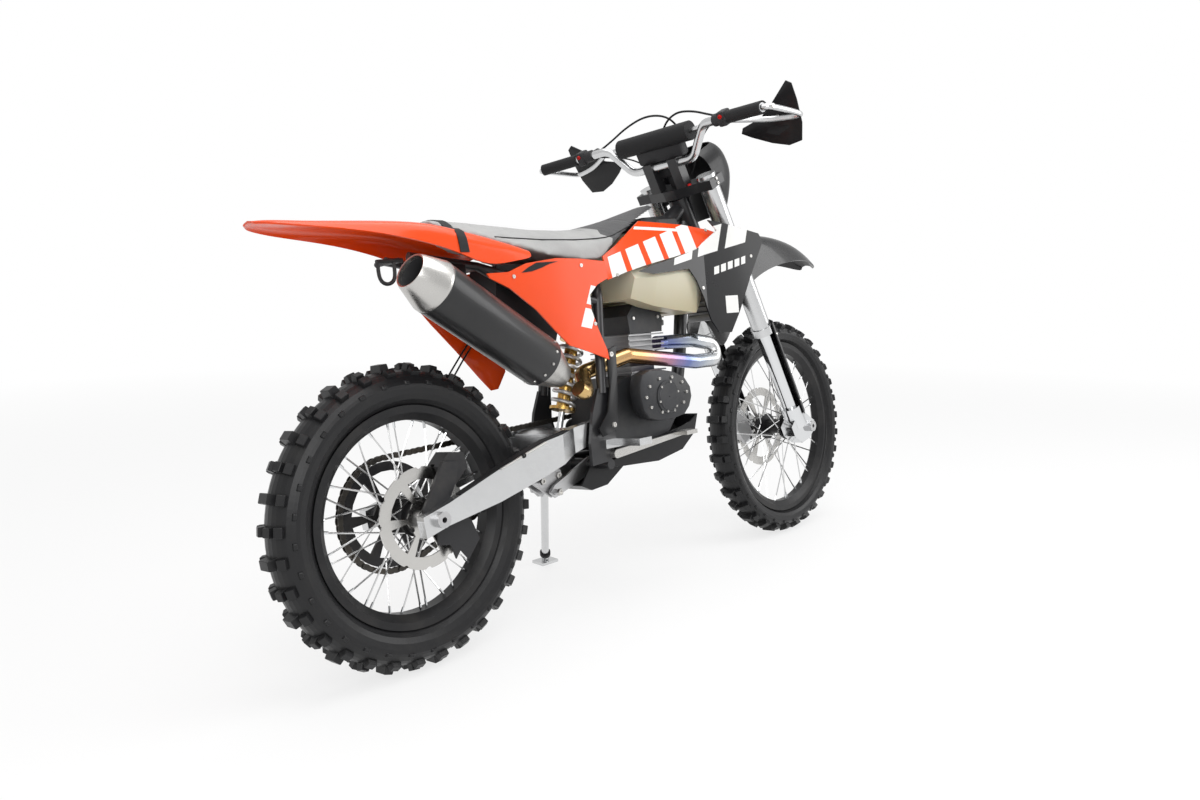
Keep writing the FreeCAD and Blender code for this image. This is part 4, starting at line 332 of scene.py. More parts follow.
@dataclass(frozen=True)
class Decal:
    """A moulded panel with plain blocks of a second colour and a few fine stripes."""

    panel: Moulding
    second: Colour
    rows: tuple[Block, ...]

    def build(self) -> bpy.types.Material:
        """The finished material."""
        painter = Painter(self.panel.name)
        x, _, z = painter.parts(POSTURE.origin)
        total: Term | None = None
        for row in self.rows:
            angle = math.radians(row.turn_deg)
            left, up = x - row.start[0], z - row.start[1]
            along = left * math.cos(angle) + up * math.sin(angle)
            over = up * math.cos(angle) - left * math.sin(angle)
            slid = along - over * row.slant
            mark = ((slid / row.pitch).fraction() < row.fill) * (over.size() < row.half_height)
            mark = mark * (slid > 0.0) * (slid < row.length)
            total = mark if total is None else painter.math("MAXIMUM", total, mark)
        return self.panel.build(painter, total, self.second)


@dataclass(frozen=True)
class Metal:
    """A bare or painted metal with drawn or cast texture and stains."""

    name: str
    colour: Colour
    roughness: float = 0.3
    metallic: float = 1.0
    stain: Colour | None = None
    stain_amount: float = 0.25
    grain: Point = (300.0, 300.0, 300.0)
    depth: float = 0.2
    coat: float = 0.0

    def build(self) -> bpy.types.Material:
        """The finished material."""
        painter = Painter(self.name)
        stain = self.stain or tuple(value * 0.72 for value in self.colour)
        patch = ((painter.noise(11.0, 6.0, 0.62) - 0.45) * 3.2).clamped() * self.stain_amount
        fine = painter.noise(1.0, 3.0, 0.55, painter.place(scale=tuple(1.0 / value for value in self.grain)))
        return painter.finish(
            fine, self.depth, 0.0003, Base_Color=painter.mix(patch, self.colour, stain), Metallic=self.metallic,
            Roughness=(self.roughness + (fine - 0.5) * 0.14 + patch * 0.2).clamped(),
            Coat_Weight=self.coat, Coat_Roughness=0.1)


@dataclass(frozen=True)
class LacedRim:
    """A black rim and hub with bright spokes between them, told apart by the distance from the axle."""

    name: str
    body: Body
    inner: float
    outer: float
    black: Colour = (0.012, 0.012, 0.013)
    bright: Colour = (0.66, 0.66, 0.66)

    def build(self) -> bpy.types.Material:
        """The finished material."""
        painter = Painter(self.name)
        x, _, z = painter.parts(tuple(POSTURE.home(self.body).translation))
        reach = painter.math("SQRT", x * x + z * z)
        spoke = (reach > self.inner) * (reach < self.outer)
        stain = ((painter.noise(11.0, 6.0, 0.62) - 0.45) * 3.0).clamped() * 0.3
        fine = painter.noise(420.0, 3.0)
        dusty = painter.mix(stain, self.black, (0.07, 0.065, 0.06))
        return painter.finish(
            fine, 0.15, 0.0003, Base_Color=painter.mix(spoke, dusty, self.bright), Metallic=spoke * 0.75 + 0.2,
            Roughness=0.34 - spoke * 0.12 + (fine - 0.5) * 0.1 + stain * 0.2, Specular_IOR_Level=0.35)


@dataclass(frozen=True)
class HeatedPipe:
    """Bare pipe whose heat colours run along the machine."""

    name: str
    front_x: float
    rear_x: float
    stops: tuple[tuple[float, Colour], ...]

    def build(self) -> bpy.types.Material:
        """The finished material."""
        painter = Painter(self.name)
        x, _, _ = painter.parts()
        wander = (painter.noise(24.0, 4.0) - 0.5) * 0.1
        along = ((x - self.rear_x) / (self.front_x - self.rear_x) + wander).clamped()
        fine = painter.noise(260.0, 3.0)
        return painter.finish(fine, 0.12, 0.0003, Base_Color=painter.ramp(along, self.stops), Metallic=1.0,
                              Roughness=0.24 + (fine - 0.5) * 0.16)


@dataclass(frozen=True)
class TyreRubber:
    """Dark rubber with a wet gloss and dusty hollows."""

    name: str
    colour: Colour = (0.012, 0.012, 0.013)
    dust: Colour = (0.026, 0.025, 0.023)
    roughness: float = 0.36

    def build(self) -> bpy.types.Material:
        """The finished material."""
        painter = Painter(self.name)
        dusty = ((painter.noise(21.0, 6.0, 0.65) - 0.5) * 3.0).clamped() * 0.5
        fine = painter.noise(420.0, 3.0)
        return painter.finish(
            fine, 0.25, 0.0005, Base_Color=painter.mix(dusty, self.colour, self.dust),
            Roughness=self.roughness + dusty * 0.4 + (fine - 0.5) * 0.12, Specular_IOR_Level=0.3)


@dataclass(frozen=True)
class SeatCover:
    """A grippy seat cover: pale flanks and saddle with a black nose, leather grain."""

    name: str
    pale: Colour = (0.33, 0.33, 0.325)
    dark: Colour = (0.02, 0.02, 0.022)
    edge_x: float = 0.64

    def build(self) -> bpy.types.Material:
        """The finished material."""
        painter = Painter(self.name)
        x, _, z = painter.parts(POSTURE.origin)
        teeth = ((z * 38.0).fraction() - 0.5).size() * 0.03
        nose = x + (z - 0.9) * 0.55 + teeth > self.edge_x
        wear = painter.noise(12.0, 4.0)
        base = painter.mix(nose, self.pale, self.dark)
        return painter.finish(
            painter.cells(640.0), 0.35, 0.0006, Base_Color=painter.mix((wear - 0.4).clamped() * 0.5, base, self.dark),
            Roughness=0.52 + (wear - 0.5) * 0.2, Sheen_Weight=0.15)


@dataclass(frozen=True)
class TankPlastic:
    """Milky unpainted tank plastic under a black cover, faintly darker and deeper in colour low down as painted shade.
    """

    name: str
    pale: Colour = (0.62, 0.585, 0.46)
    # The colour of the painted shade low down on the tank.
    deep: Colour = (0.42, 0.37, 0.24)
    dark: Colour = (0.008, 0.008, 0.009)
    cover: float = 0.952

    def build(self) -> bpy.types.Material:
        """The finished material."""
        painter = Painter(self.name)
        _, _, z = painter.parts()
        # Painted shade: the tank turns darker towards the bottom.
        low = ((0.86 - z) * 9.0 + (painter.noise(7.0) - 0.5) * 0.3).clamped()
        top = ((z - self.cover) * 200.0).clamped()
        return painter.finish(
            painter.noise(500.0, 2.0), 0.12, 0.0004, Roughness=0.36, Subsurface_Weight=0.12,
            Base_Color=painter.mix(top, painter.mix(low, self.pale, self.deep), self.dark))


class Finishes:
    """Every finish of the machine, each built once."""

    ORANGE: Colour = (0.82, 0.066, 0.004)
    BLACK: Colour = (0.008, 0.008, 0.009)
    WHITE: Colour = (0.78, 0.78, 0.76)

    def __init__(self) -> None:
        """Builds the materials."""
        orange, black = self.ORANGE, self.BLACK
        gloss = dict(roughness=0.22, coat=0.2, grain=0.05)
        self.orange = Moulding("orange_gloss", orange, **gloss).build()
        self.tank_panel = Decal(Moulding("orange_panel", orange, **gloss), self.WHITE, (
            Block((0.575, 0.846), 16.5, 0.355, 0.036, 0.071, 0.72, 0.3),
            Block((0.70, 0.962), -2.0, 0.17, 0.004, 0.17, 1.0, 0.9),
        )).build()
        self.shroud = Decal(Moulding("shroud_black", black, roughness=0.3, coat=0.25, grain=0.1), self.WHITE, (
            Block((0.80, 0.896), 12.0, 0.30, 0.034, 0.106, 0.74, 0.55),
            Block((0.952, 0.842), 14.0, 0.12, 0.010, 0.026, 0.72, 0.35),
            Block((0.985, 0.748), 0.0, 0.05, 0.024, 0.05, 0.9, 0.0),
        )).build()
        self.side_panel = Decal(Moulding("orange_side", orange, **gloss), self.WHITE, (
            Block((0.470, 0.712), 66.0, 0.118, 0.017, 0.059, 0.82, -0.2),
        )).build()
        self.red = Moulding("red_plastic", (0.55, 0.008, 0.006), 0.3, 0.1, grain=0.05).build()
        self.black = Moulding("black_plastic", black, 0.34, 0.2, 700.0, 0.3, 0.1).build()
        self.satin = Moulding("black_satin", (0.03, 0.03, 0.032), 0.5, 0.25, 520.0, 0.6).build()
        self.rubber = Moulding("black_rubber", (0.016, 0.016, 0.017), 0.62, 0.3, 380.0, 0.7).build()
        self.fender_front = Moulding("fender_front", black, 0.27, 0.15, 800.0, 0.1, 0.35).build()
        self.tyre = TyreRubber("tyre_rubber").build()
        self.rear_rim = LacedRim("rear_rim", Body.REAR_WHEEL, 0.0435, 0.2075).build()
        self.front_rim = LacedRim("front_rim", Body.FRONT_WHEEL, 0.0435, 0.2445).build()
        self.steel = Metal("brushed_steel", (0.56, 0.55, 0.53), 0.28, grain=(900.0, 60.0, 900.0)).build()
        self.disc = Metal("disc_steel", (0.60, 0.59, 0.57), 0.22, grain=(500.0, 40.0, 500.0)).build()
        self.alloy = Metal("polished_alloy", (0.66, 0.665, 0.67), 0.22, grain=(60.0, 500.0, 700.0), depth=0.1).build()
        self.alloy_matt = Metal("blasted_alloy", (0.52, 0.52, 0.525), 0.42, grain=(500.0, 500.0, 500.0),
                                depth=0.4).build()
        self.engine = Metal("engine_grey", (0.034, 0.035, 0.038), 0.46, 0.5, (0.12, 0.115, 0.105), 0.35,
                            grain=(420.0, 420.0, 420.0), depth=0.6).build()
        self.fins = Metal("fin_silver", (0.30, 0.30, 0.305), 0.36, 0.8, (0.10, 0.10, 0.10), 0.35, depth=0.3).build()
        self.frame = Metal("frame_black", (0.016, 0.016, 0.018), 0.36, 0.15, (0.07, 0.065, 0.06), coat=0.2).build()
        self.steel_black = Metal("black_steel", (0.03, 0.03, 0.032), 0.4, 0.6, (0.10, 0.09, 0.08), 0.4).build()
        self.chain = Metal("chain_steel", (0.07, 0.066, 0.06), 0.36, 0.85, (0.16, 0.13, 0.10), 0.5).build()
        self.fork = Metal("fork_silver", (0.63, 0.635, 0.64), 0.24, grain=(700.0, 700.0, 60.0), depth=0.08).build()
        self.chrome = Metal("chrome", (0.72, 0.73, 0.74), 0.08, grain=(500.0, 500.0, 50.0), depth=0.02,
                            stain_amount=0.1).build()
        self.gold = Metal("gold_body", (0.62, 0.40, 0.12), 0.28, depth=0.1).build()
        self.spring = Metal("spring_silver", (0.60, 0.60, 0.60), 0.3, 0.7, coat=0.2).build()
        self.can = Metal("can_black", (0.010, 0.010, 0.011), 0.36, 0.2, (0.03, 0.03, 0.03), 0.3, coat=0.15).build()
        self.radiator = Metal("radiator_alloy", (0.30, 0.30, 0.30), 0.45, 0.8, (0.1, 0.1, 0.1), 0.4).build()
        self.seat = SeatCover("seat_cover").build()
        self.tank = TankPlastic("tank_plastic").build()
        self.header = HeatedPipe("heated_pipe", 0.26, -0.30, (
            (0.0, (0.62, 0.42, 0.18)), (0.22, (0.70, 0.50, 0.24)), (0.42, (0.66, 0.36, 0.16)),
            (0.60, (0.42, 0.22, 0.30)), (0.74, (0.16, 0.20, 0.42)), (0.86, (0.42, 0.46, 0.52)),
            (1.0, (0.66, 0.66, 0.66)),
        )).build()

    def table(self) -> dict[bpy.types.Material, str]:
        """Which CAD nodes wear which finish."""
        return {
            self.tyre: "rear_tyre front_tyre", self.rear_rim: "rear_rim", self.front_rim: "front_rim",
            self.disc: "rear_disc front_disc", self.steel_black: "rear_sprocket front_sprocket rear_caliper",
            self.chain: "chain", self.alloy: "swingarm handlebar handguards footpegs side_stand",
            self.alloy_matt: "rear_axle front_axle front_caliper linkage", self.fins: "cylinder",
            self.engine: "crankcase clutch_cover flywheel_cover cylinder_head", self.header: "exhaust_pipe",
            self.can: "muffler", self.steel: "muffler_cap foot_controls", self.seat: "seat", self.tank: "fuel_tank",
            self.satin: "airbox bar_controls rear_disc_guard", self.black: "skid_plate fork_guards number_plate",
            self.fender_front: "front_fender", self.orange: "rear_fender",
            self.side_panel: "side_panel_right side_panel_left", self.tank_panel: "tank_panel_right tank_panel_left",
            self.shroud: "shroud_right shroud_left", self.spring: "shock_absorber",
            self.frame: "main_frame subframe triple_clamps", self.chrome: "fork_legs", self.fork: "fork_tubes",
            self.rubber: "bar_pad grips",
        }

    def dress(self, nodes: dict[str, bpy.types.Object]) -> None:
        """Gives each CAD node its finish."""
        for material, names in self.table().items():
            for name in names.split():
                nodes[name].data.materials.clear()
                nodes[name].data.materials.append(material)


# Stage


@dataclass(frozen=True)
class Stage:
    """The floor, the lights and the camera, whose place is in the upright machine's frame."""

    place: Point = (-1.12314, -1.69159, 0.6686)
    yaw_deg: float = 43.3587
    pitch_deg: float = -8.2822
    roll_deg: float = 0.023
    lens_mm: float = 27.55
    floor_half: float = 15.0
    floor_colour: Colour = (0.92, 0.92, 0.92)
    floor_white: float = 0.74
    lamps: tuple[tuple[str, Point, Point, float, float], ...] = (
        ("lamp_top", (0.0, -0.4, 3.4), (0, 0, 0.5), 3.2, 85.0),
        ("lamp_left", (-2.6, -2.6, 2.4), (0, 0, 0.6), 2.4, 60.0),
        ("lamp_right", (2.8, -2.4, 2.0), (0.2, 0, 0.6), 2.2, 45.0),
    )

    def stand(self, name: str, data: bpy.types.ID) -> bpy.types.Object:
        """An object of the stage in the scene."""
        thing = bpy.data.objects.new(name, data)
        bpy.context.scene.collection.objects.link(thing)
        return thing

    def build_camera(self) -> None:
        """Sets the camera where the photograph was taken."""
        data = bpy.data.cameras.new("camera")
        data.sensor_width = 36.0
        data.lens = self.lens_mm
        camera = self.stand("camera", data)
        camera.location = MACHINE @ Vector(self.place)
        camera.rotation_mode = "XYZ"
        turns = (90 + self.pitch_deg, self.roll_deg, self.yaw_deg - 90)
        camera.rotation_euler = [math.radians(turn) for turn in turns]
        bpy.context.scene.camera = camera

    def build_floor(self) -> None:
        """A pale floor that keeps the object's shadow and turns white away from it."""
        half = self.floor_half
        mesh = bpy.data.meshes.new("floor")
        mesh.from_pydata([(-half, -half, 0), (half, -half, 0), (half, half, 0), (-half, half, 0)], [], [(0, 1, 2, 3)])
        floor = self.stand("floor", mesh)
        painter = Painter("floor_pale")
        x, y, _ = painter.parts()
        away = painter.math("SQRT", x * x + y * y)
        painter.whiten(((away - 1.2) * 0.2).clamped() * (1.0 - self.floor_white) + self.floor_white)
        mesh.materials.append(painter.finish(Base_Color=self.floor_colour, Roughness=0.55))

    def build_world(self) -> None:
        """A plain studio surround that the camera and gloss see as white."""
        world = bpy.data.worlds.new("studio")
        world.use_nodes = True
        bpy.context.scene.world = world
        nodes = Nodes(world.node_tree)
        mixed = nodes.node("ShaderNodeMix", {"data_type": "FLOAT"}, {0: nodes.seen(0.55), 2: 0.42, 3: 1.0})
        background = nodes.node("ShaderNodeBackground", None, {
            "Color": (1.0, 1.0, 1.0, 1.0), "Strength": mixed.outputs[0],
        })
        nodes.node("ShaderNodeOutputWorld", None, {"Surface": background.outputs[0]})

    def build(self) -> None:
        """Sets up the whole stage."""
        self.build_camera()
        self.build_floor()
        self.build_world()
        for name, place, target, size, power in self.lamps:
            data = bpy.data.lights.new(name, "AREA")
            data.size = size
            data.energy = power
            lamp = self.stand(name, data)
            lamp.location = place
            lamp.rotation_euler = (Vector(target) - Vector(place)).to_track_quat("-Z", "Y").to_euler()
        bpy.context.scene.view_settings.view_transform = "Standard"


# Node trees for what repeats


class Tree(Nodes):
    """A Geometry Nodes tree with named inputs."""

    KINDS = {int: "NodeSocketInt", float: "NodeSocketFloat", tuple: "NodeSocketVector"}

    def __init__(self, name: str, **inputs: int | float | Point) -> None:
        """Starts a tree that takes and gives geometry, and takes a material.

        Args:
            name: the tree's name.
            inputs: each further input's first value, which also says the socket's type.
        """
        super().__init__(bpy.data.node_groups.new(name, "GeometryNodeTree"))
        face = self.tree.interface
        face.new_socket("Geometry", in_out="INPUT", socket_type="NodeSocketGeometry")
        self.keys: dict[str, str] = {}
        for key, value in inputs.items():
            socket = face.new_socket(key, in_out="INPUT", socket_type=self.KINDS[type(value)])
            socket.default_value = value
            self.keys[key] = socket.identifier
        material = face.new_socket("Material", in_out="INPUT", socket_type="NodeSocketMaterial")
        self.keys["Material"] = material.identifier
        face.new_socket("Geometry", in_out="OUTPUT", socket_type="NodeSocketGeometry")
        self.start = self.node("NodeGroupInput")
        self.end = self.node("NodeGroupOutput")

    def given(self, name: str) -> Term:
        """A named input."""
        return Term(self, self.start.outputs[name])

    def index(self) -> Term:
        """Each point's number."""
        return Term(self, self.node("GeometryNodeInputIndex").outputs[0])

    def named(self, name: str) -> bpy.types.NodeSocket:
        """The points' vector of that name."""
        return self.node("GeometryNodeInputNamedAttribute", {"data_type": "FLOAT_VECTOR"}, {"Name": name}).outputs[0]

    def vector(self, *parts: Term | float) -> bpy.types.NodeSocket:
        """A vector from its parts."""
        return self.node("ShaderNodeCombineXYZ", None, dict(enumerate(parts))).outputs[0]

    def moved(self, geometry: bpy.types.NodeSocket, **inputs: object) -> bpy.types.NodeSocket:
        """Geometry with a Translation, a Rotation or a Scale."""
        return self.node("GeometryNodeTransform", None, {"Geometry": geometry, **inputs}).outputs[0]

    def spread(self, points: object, piece: object, turn: object, keep: bool, **inputs: object) -> None:
        """Sets a piece on points, realizes it, gives it its material and sends it out.

        Args:
            points: where the pieces stand.
            piece: the geometry that is repeated.
            turn: its rotation on each point.
            keep: whether the incoming geometry is kept beside it.
            inputs: further inputs of the node that sets it.
        """
        placed = self.node("GeometryNodeInstanceOnPoints", None, {
            "Points": points, "Instance": piece, "Rotation": turn, **inputs,
        })
        real = self.node("GeometryNodeRealizeInstances", None, {0: placed.outputs[0]})
        dressed = self.node("GeometryNodeSetMaterial", None, {
            "Geometry": real.outputs[0], "Material": self.given("Material"),
        })
        result = dressed.outputs[0]
        if keep:
            joined = self.node("GeometryNodeJoinGeometry", None, {0: self.given("Geometry")})
            self.feed(joined.inputs[0], result)
            result = joined.outputs[0]
        self.feed(self.end.inputs[0], result)

    def use(self, piece: bpy.types.Object, **values: object) -> None:
        """Adds the tree to a piece as a modifier with these input values."""
        modifier = piece.modifiers.new(self.tree.name, "NODES")
        modifier.node_group = self.tree
        for key, value in values.items():
            modifier[self.keys[key]] = value


def knob_ring() -> Tree:
    """The tree that sets drafted knobs round a wheel's axle, which is the Y axis."""
    tree = Tree("knob_ring", Count=16, Radius=0.3, Place=0.0, Tilt=0.0, Phase=0.0, Size=(0.02, 0.02, 0.02), Draft=0.85)
    count, radius = tree.given("Count"), tree.given("Radius")
    angle = tree.index() * (math.tau / count) + tree.given("Phase")
    place = tree.vector(radius * tree.math("COSINE", angle), tree.given("Place"), radius * tree.math("SINE", angle))
    points = tree.node("GeometryNodePoints", None, {"Count": count, "Position": place})
    turn = tree.node("FunctionNodeEulerToRotation", None, {
        0: tree.vector(tree.given("Tilt"), math.pi / 2 - angle, 0.0),
    })
    half = math.sqrt(0.5)
    block = tree.node("GeometryNodeMeshCone", {"fill_type": "NGON"}, {
        "Vertices": 4, "Radius Bottom": half, "Radius Top": tree.given("Draft") * half, "Depth": 1.0,
    })
    squared = tree.moved(block.outputs["Mesh"], Rotation=(0.0, 0.0, math.pi / 4))
    sized = tree.moved(squared, Scale=tree.given("Size"))
    tree.spread(points.outputs[0], sized, turn.outputs[0], True)
    return tree


def screw_set() -> Tree:
    """The tree that sets a socket-head screw on each point, its axis along the point's "way"."""
    tree = Tree("screw_set", Radius=0.004, Height=0.003, Recess=0.5, Sides=12)
    radius, height = tree.given("Radius"), tree.given("Height")
    head = tree.node("GeometryNodeMeshCone", {"fill_type": "NGON"}, {
        "Vertices": tree.given("Sides"), "Radius Bottom": radius, "Radius Top": radius * 0.84, "Depth": height,
    })
    lip = tree.node("GeometryNodeExtrudeMesh", {"mode": "FACES"}, {
        "Mesh": head.outputs["Mesh"], "Selection": head.outputs["Top"], "Offset Scale": 0.0,
    })
    drawn = tree.node("GeometryNodeScaleElements", None, {
        "Geometry": lip.outputs["Mesh"], "Selection": lip.outputs["Top"], "Scale": tree.given("Recess"),
    })
    pit = tree.node("GeometryNodeExtrudeMesh", {"mode": "FACES"}, {
        "Mesh": drawn.outputs[0], "Selection": lip.outputs["Top"], "Offset Scale": height * -0.6,
    })
    turned = tree.node("FunctionNodeAlignRotationToVector", {"axis": "Z"}, {"Vector": tree.named("way")})
    tree.spread(tree.given("Geometry"), pit.outputs["Mesh"], turned.outputs[0], False)
    return tree


def chain_links() -> Tree:
    """The tree that sets two oval plates and a roller on each point, turned by its "turn"."""
    tree = Tree("chain_links", Pitch=0.0159, Tall=0.013, Opening=0.011, Plate=0.002, Roller=0.0045)
    pitch, opening = tree.given("Pitch"), tree.given("Opening")
    flat = (math.pi / 2, 0.0, 0.0)
    joined = tree.node("GeometryNodeJoinGeometry")
    oval = tree.node("GeometryNodeMeshCylinder", {"fill_type": "NGON"}, {"Vertices": 12, "Radius": 0.5, "Depth": 1.0})
    size = tree.vector(pitch * 1.5, tree.given("Tall"), tree.given("Plate"))
    for side in (-0.5, 0.5):
        move = tree.vector(0.0, opening * side)
        tree.feed(joined.inputs[0], tree.moved(oval.outputs["Mesh"], Translation=move, Rotation=flat, Scale=size))
    roller = tree.node("GeometryNodeMeshCylinder", {"fill_type": "NGON"}, {
        "Vertices": 8, "Radius": tree.given("Roller"), "Depth": opening + 0.004,
    })
    move = tree.vector(pitch * 0.5)
    tree.feed(joined.inputs[0], tree.moved(roller.outputs["Mesh"], Translation=move, Rotation=flat))
    wide = tree.math("MODULO", tree.index(), 2.0) * 0.28 + 0.72
    rotation = tree.node("FunctionNodeEulerToRotation", None, {0: tree.named("turn")})
    tree.spread(tree.given("Geometry"), joined.outputs[0], rotation.outputs[0], False,
                Scale=tree.vector(1.0, wide, 1.0))
    return tree


# Meshes


def solid_tree(piece: bpy.types.Object) -> BVHTree:
    """A search tree of a mesh object's faces, shown or hidden."""
    faces = [tuple(face.vertices) for face in piece.data.polygons]
    return BVHTree.FromPolygons([vert.co for vert in piece.data.vertices], faces)


def mesh_of(shape: bmesh.types.BMesh, outward: bool = False) -> bpy.types.Mesh:
    """A mesh from a shape, which is freed, with its faces turned outward where that is asked."""
    if outward:
        bmesh.ops.recalc_face_normals(shape, faces=shape.faces)
    mesh = bpy.data.meshes.new("mesh")
    shape.to_mesh(mesh)
    shape.free()
    return mesh


def revolve(profile: Sequence[tuple[float, float]], sides: int, unit: float = MM) -> bpy.types.Mesh:
    """A closed profile of places along Y and radii, turned about Y."""
    shape = bmesh.new()
    rings = []
    for number in range(sides):
        angle = math.tau * number / sides
        rings.append([shape.verts.new((radius * unit * math.cos(angle), place * unit, radius * unit * math.sin(angle)))
                      for place, radius in profile])
    for number, ring in enumerate(rings):
        other = rings[(number + 1) % sides]
        for corner in range(len(profile)):
            after = (corner + 1) % len(profile)
            shape.faces.new((ring[corner], ring[after], other[after], other[corner]))
    return mesh_of(shape, True)


def tube(points: Sequence[Point], radius: float, unit: float = MM) -> bpy.types.Mesh:
    """A round tube, its radius in metres, along one smooth spline through a route."""
    data = bpy.data.curves.new("route", "CURVE")
    data.dimensions = "3D"
    data.bevel_depth = radius
    data.bevel_resolution = 3
    data.use_fill_caps = True
    data.resolution_u = 8
    spline = data.splines.new("NURBS")
    spline.points.add(len(points) - 1)
    for item, point in zip(spline.points, points):
        item.co = (*(Vector(point) * unit), 1.0)
    spline.order_u = 3
    spline.use_endpoint_u = True
    holder = bpy.data.objects.new("route", data)
    bpy.context.scene.collection.objects.link(holder)
    graph = bpy.context.evaluated_depsgraph_get()
    mesh = bpy.data.meshes.new_from_object(holder.evaluated_get(graph), depsgraph=graph)
    bpy.data.objects.remove(holder)
    return mesh


def strip(rails: Sequence[Spot], across: Vector, half: float, thick: float) -> bpy.types.Mesh:
    """A flat strap in metres over places with outward ways, half as wide on each side of them."""
    shape = bmesh.new()
    rows = [[shape.verts.new(place + across * side * half + way * lift * thick)
             for side, lift in ((-1, 0), (-1, 1), (1, 1), (1, 0))] for place, way in rails]
    for first, second in zip(rows, rows[1:]):
        for corner in range(4):
            after = (corner + 1) % 4
            shape.faces.new((first[corner], first[after], second[after], second[corner]))
    shape.faces.new(rows[0])
    shape.faces.new(rows[-1])
    return mesh_of(shape, True)


def merged(meshes: Sequence[bpy.types.Mesh]) -> bpy.types.Mesh:
    """Several meshes as one."""
    shape = bmesh.new()
    for mesh in meshes:
        shape.from_mesh(mesh)
    return mesh_of(shape)


def axis_frame(start: Vector, end: Vector) -> Matrix:
    """The matrix from a frame whose Y runs from one point of the upright machine to another."""
    turn = Vector((0, 1, 0)).rotation_difference(end - start).to_matrix().to_4x4()
    return MACHINE @ Matrix.Translation(start * MM) @ turn


def bevel(piece: bpy.types.Object, width: float, angle_deg: float, segments: int) -> None:
    """Softens the sharp edges of a piece."""
    edge = piece.modifiers.new("edge", "BEVEL")
    edge.width = width
    edge.segments = segments
    edge.limit_method = "ANGLE"
    edge.angle_limit = math.radians(angle_deg)


# Workshop


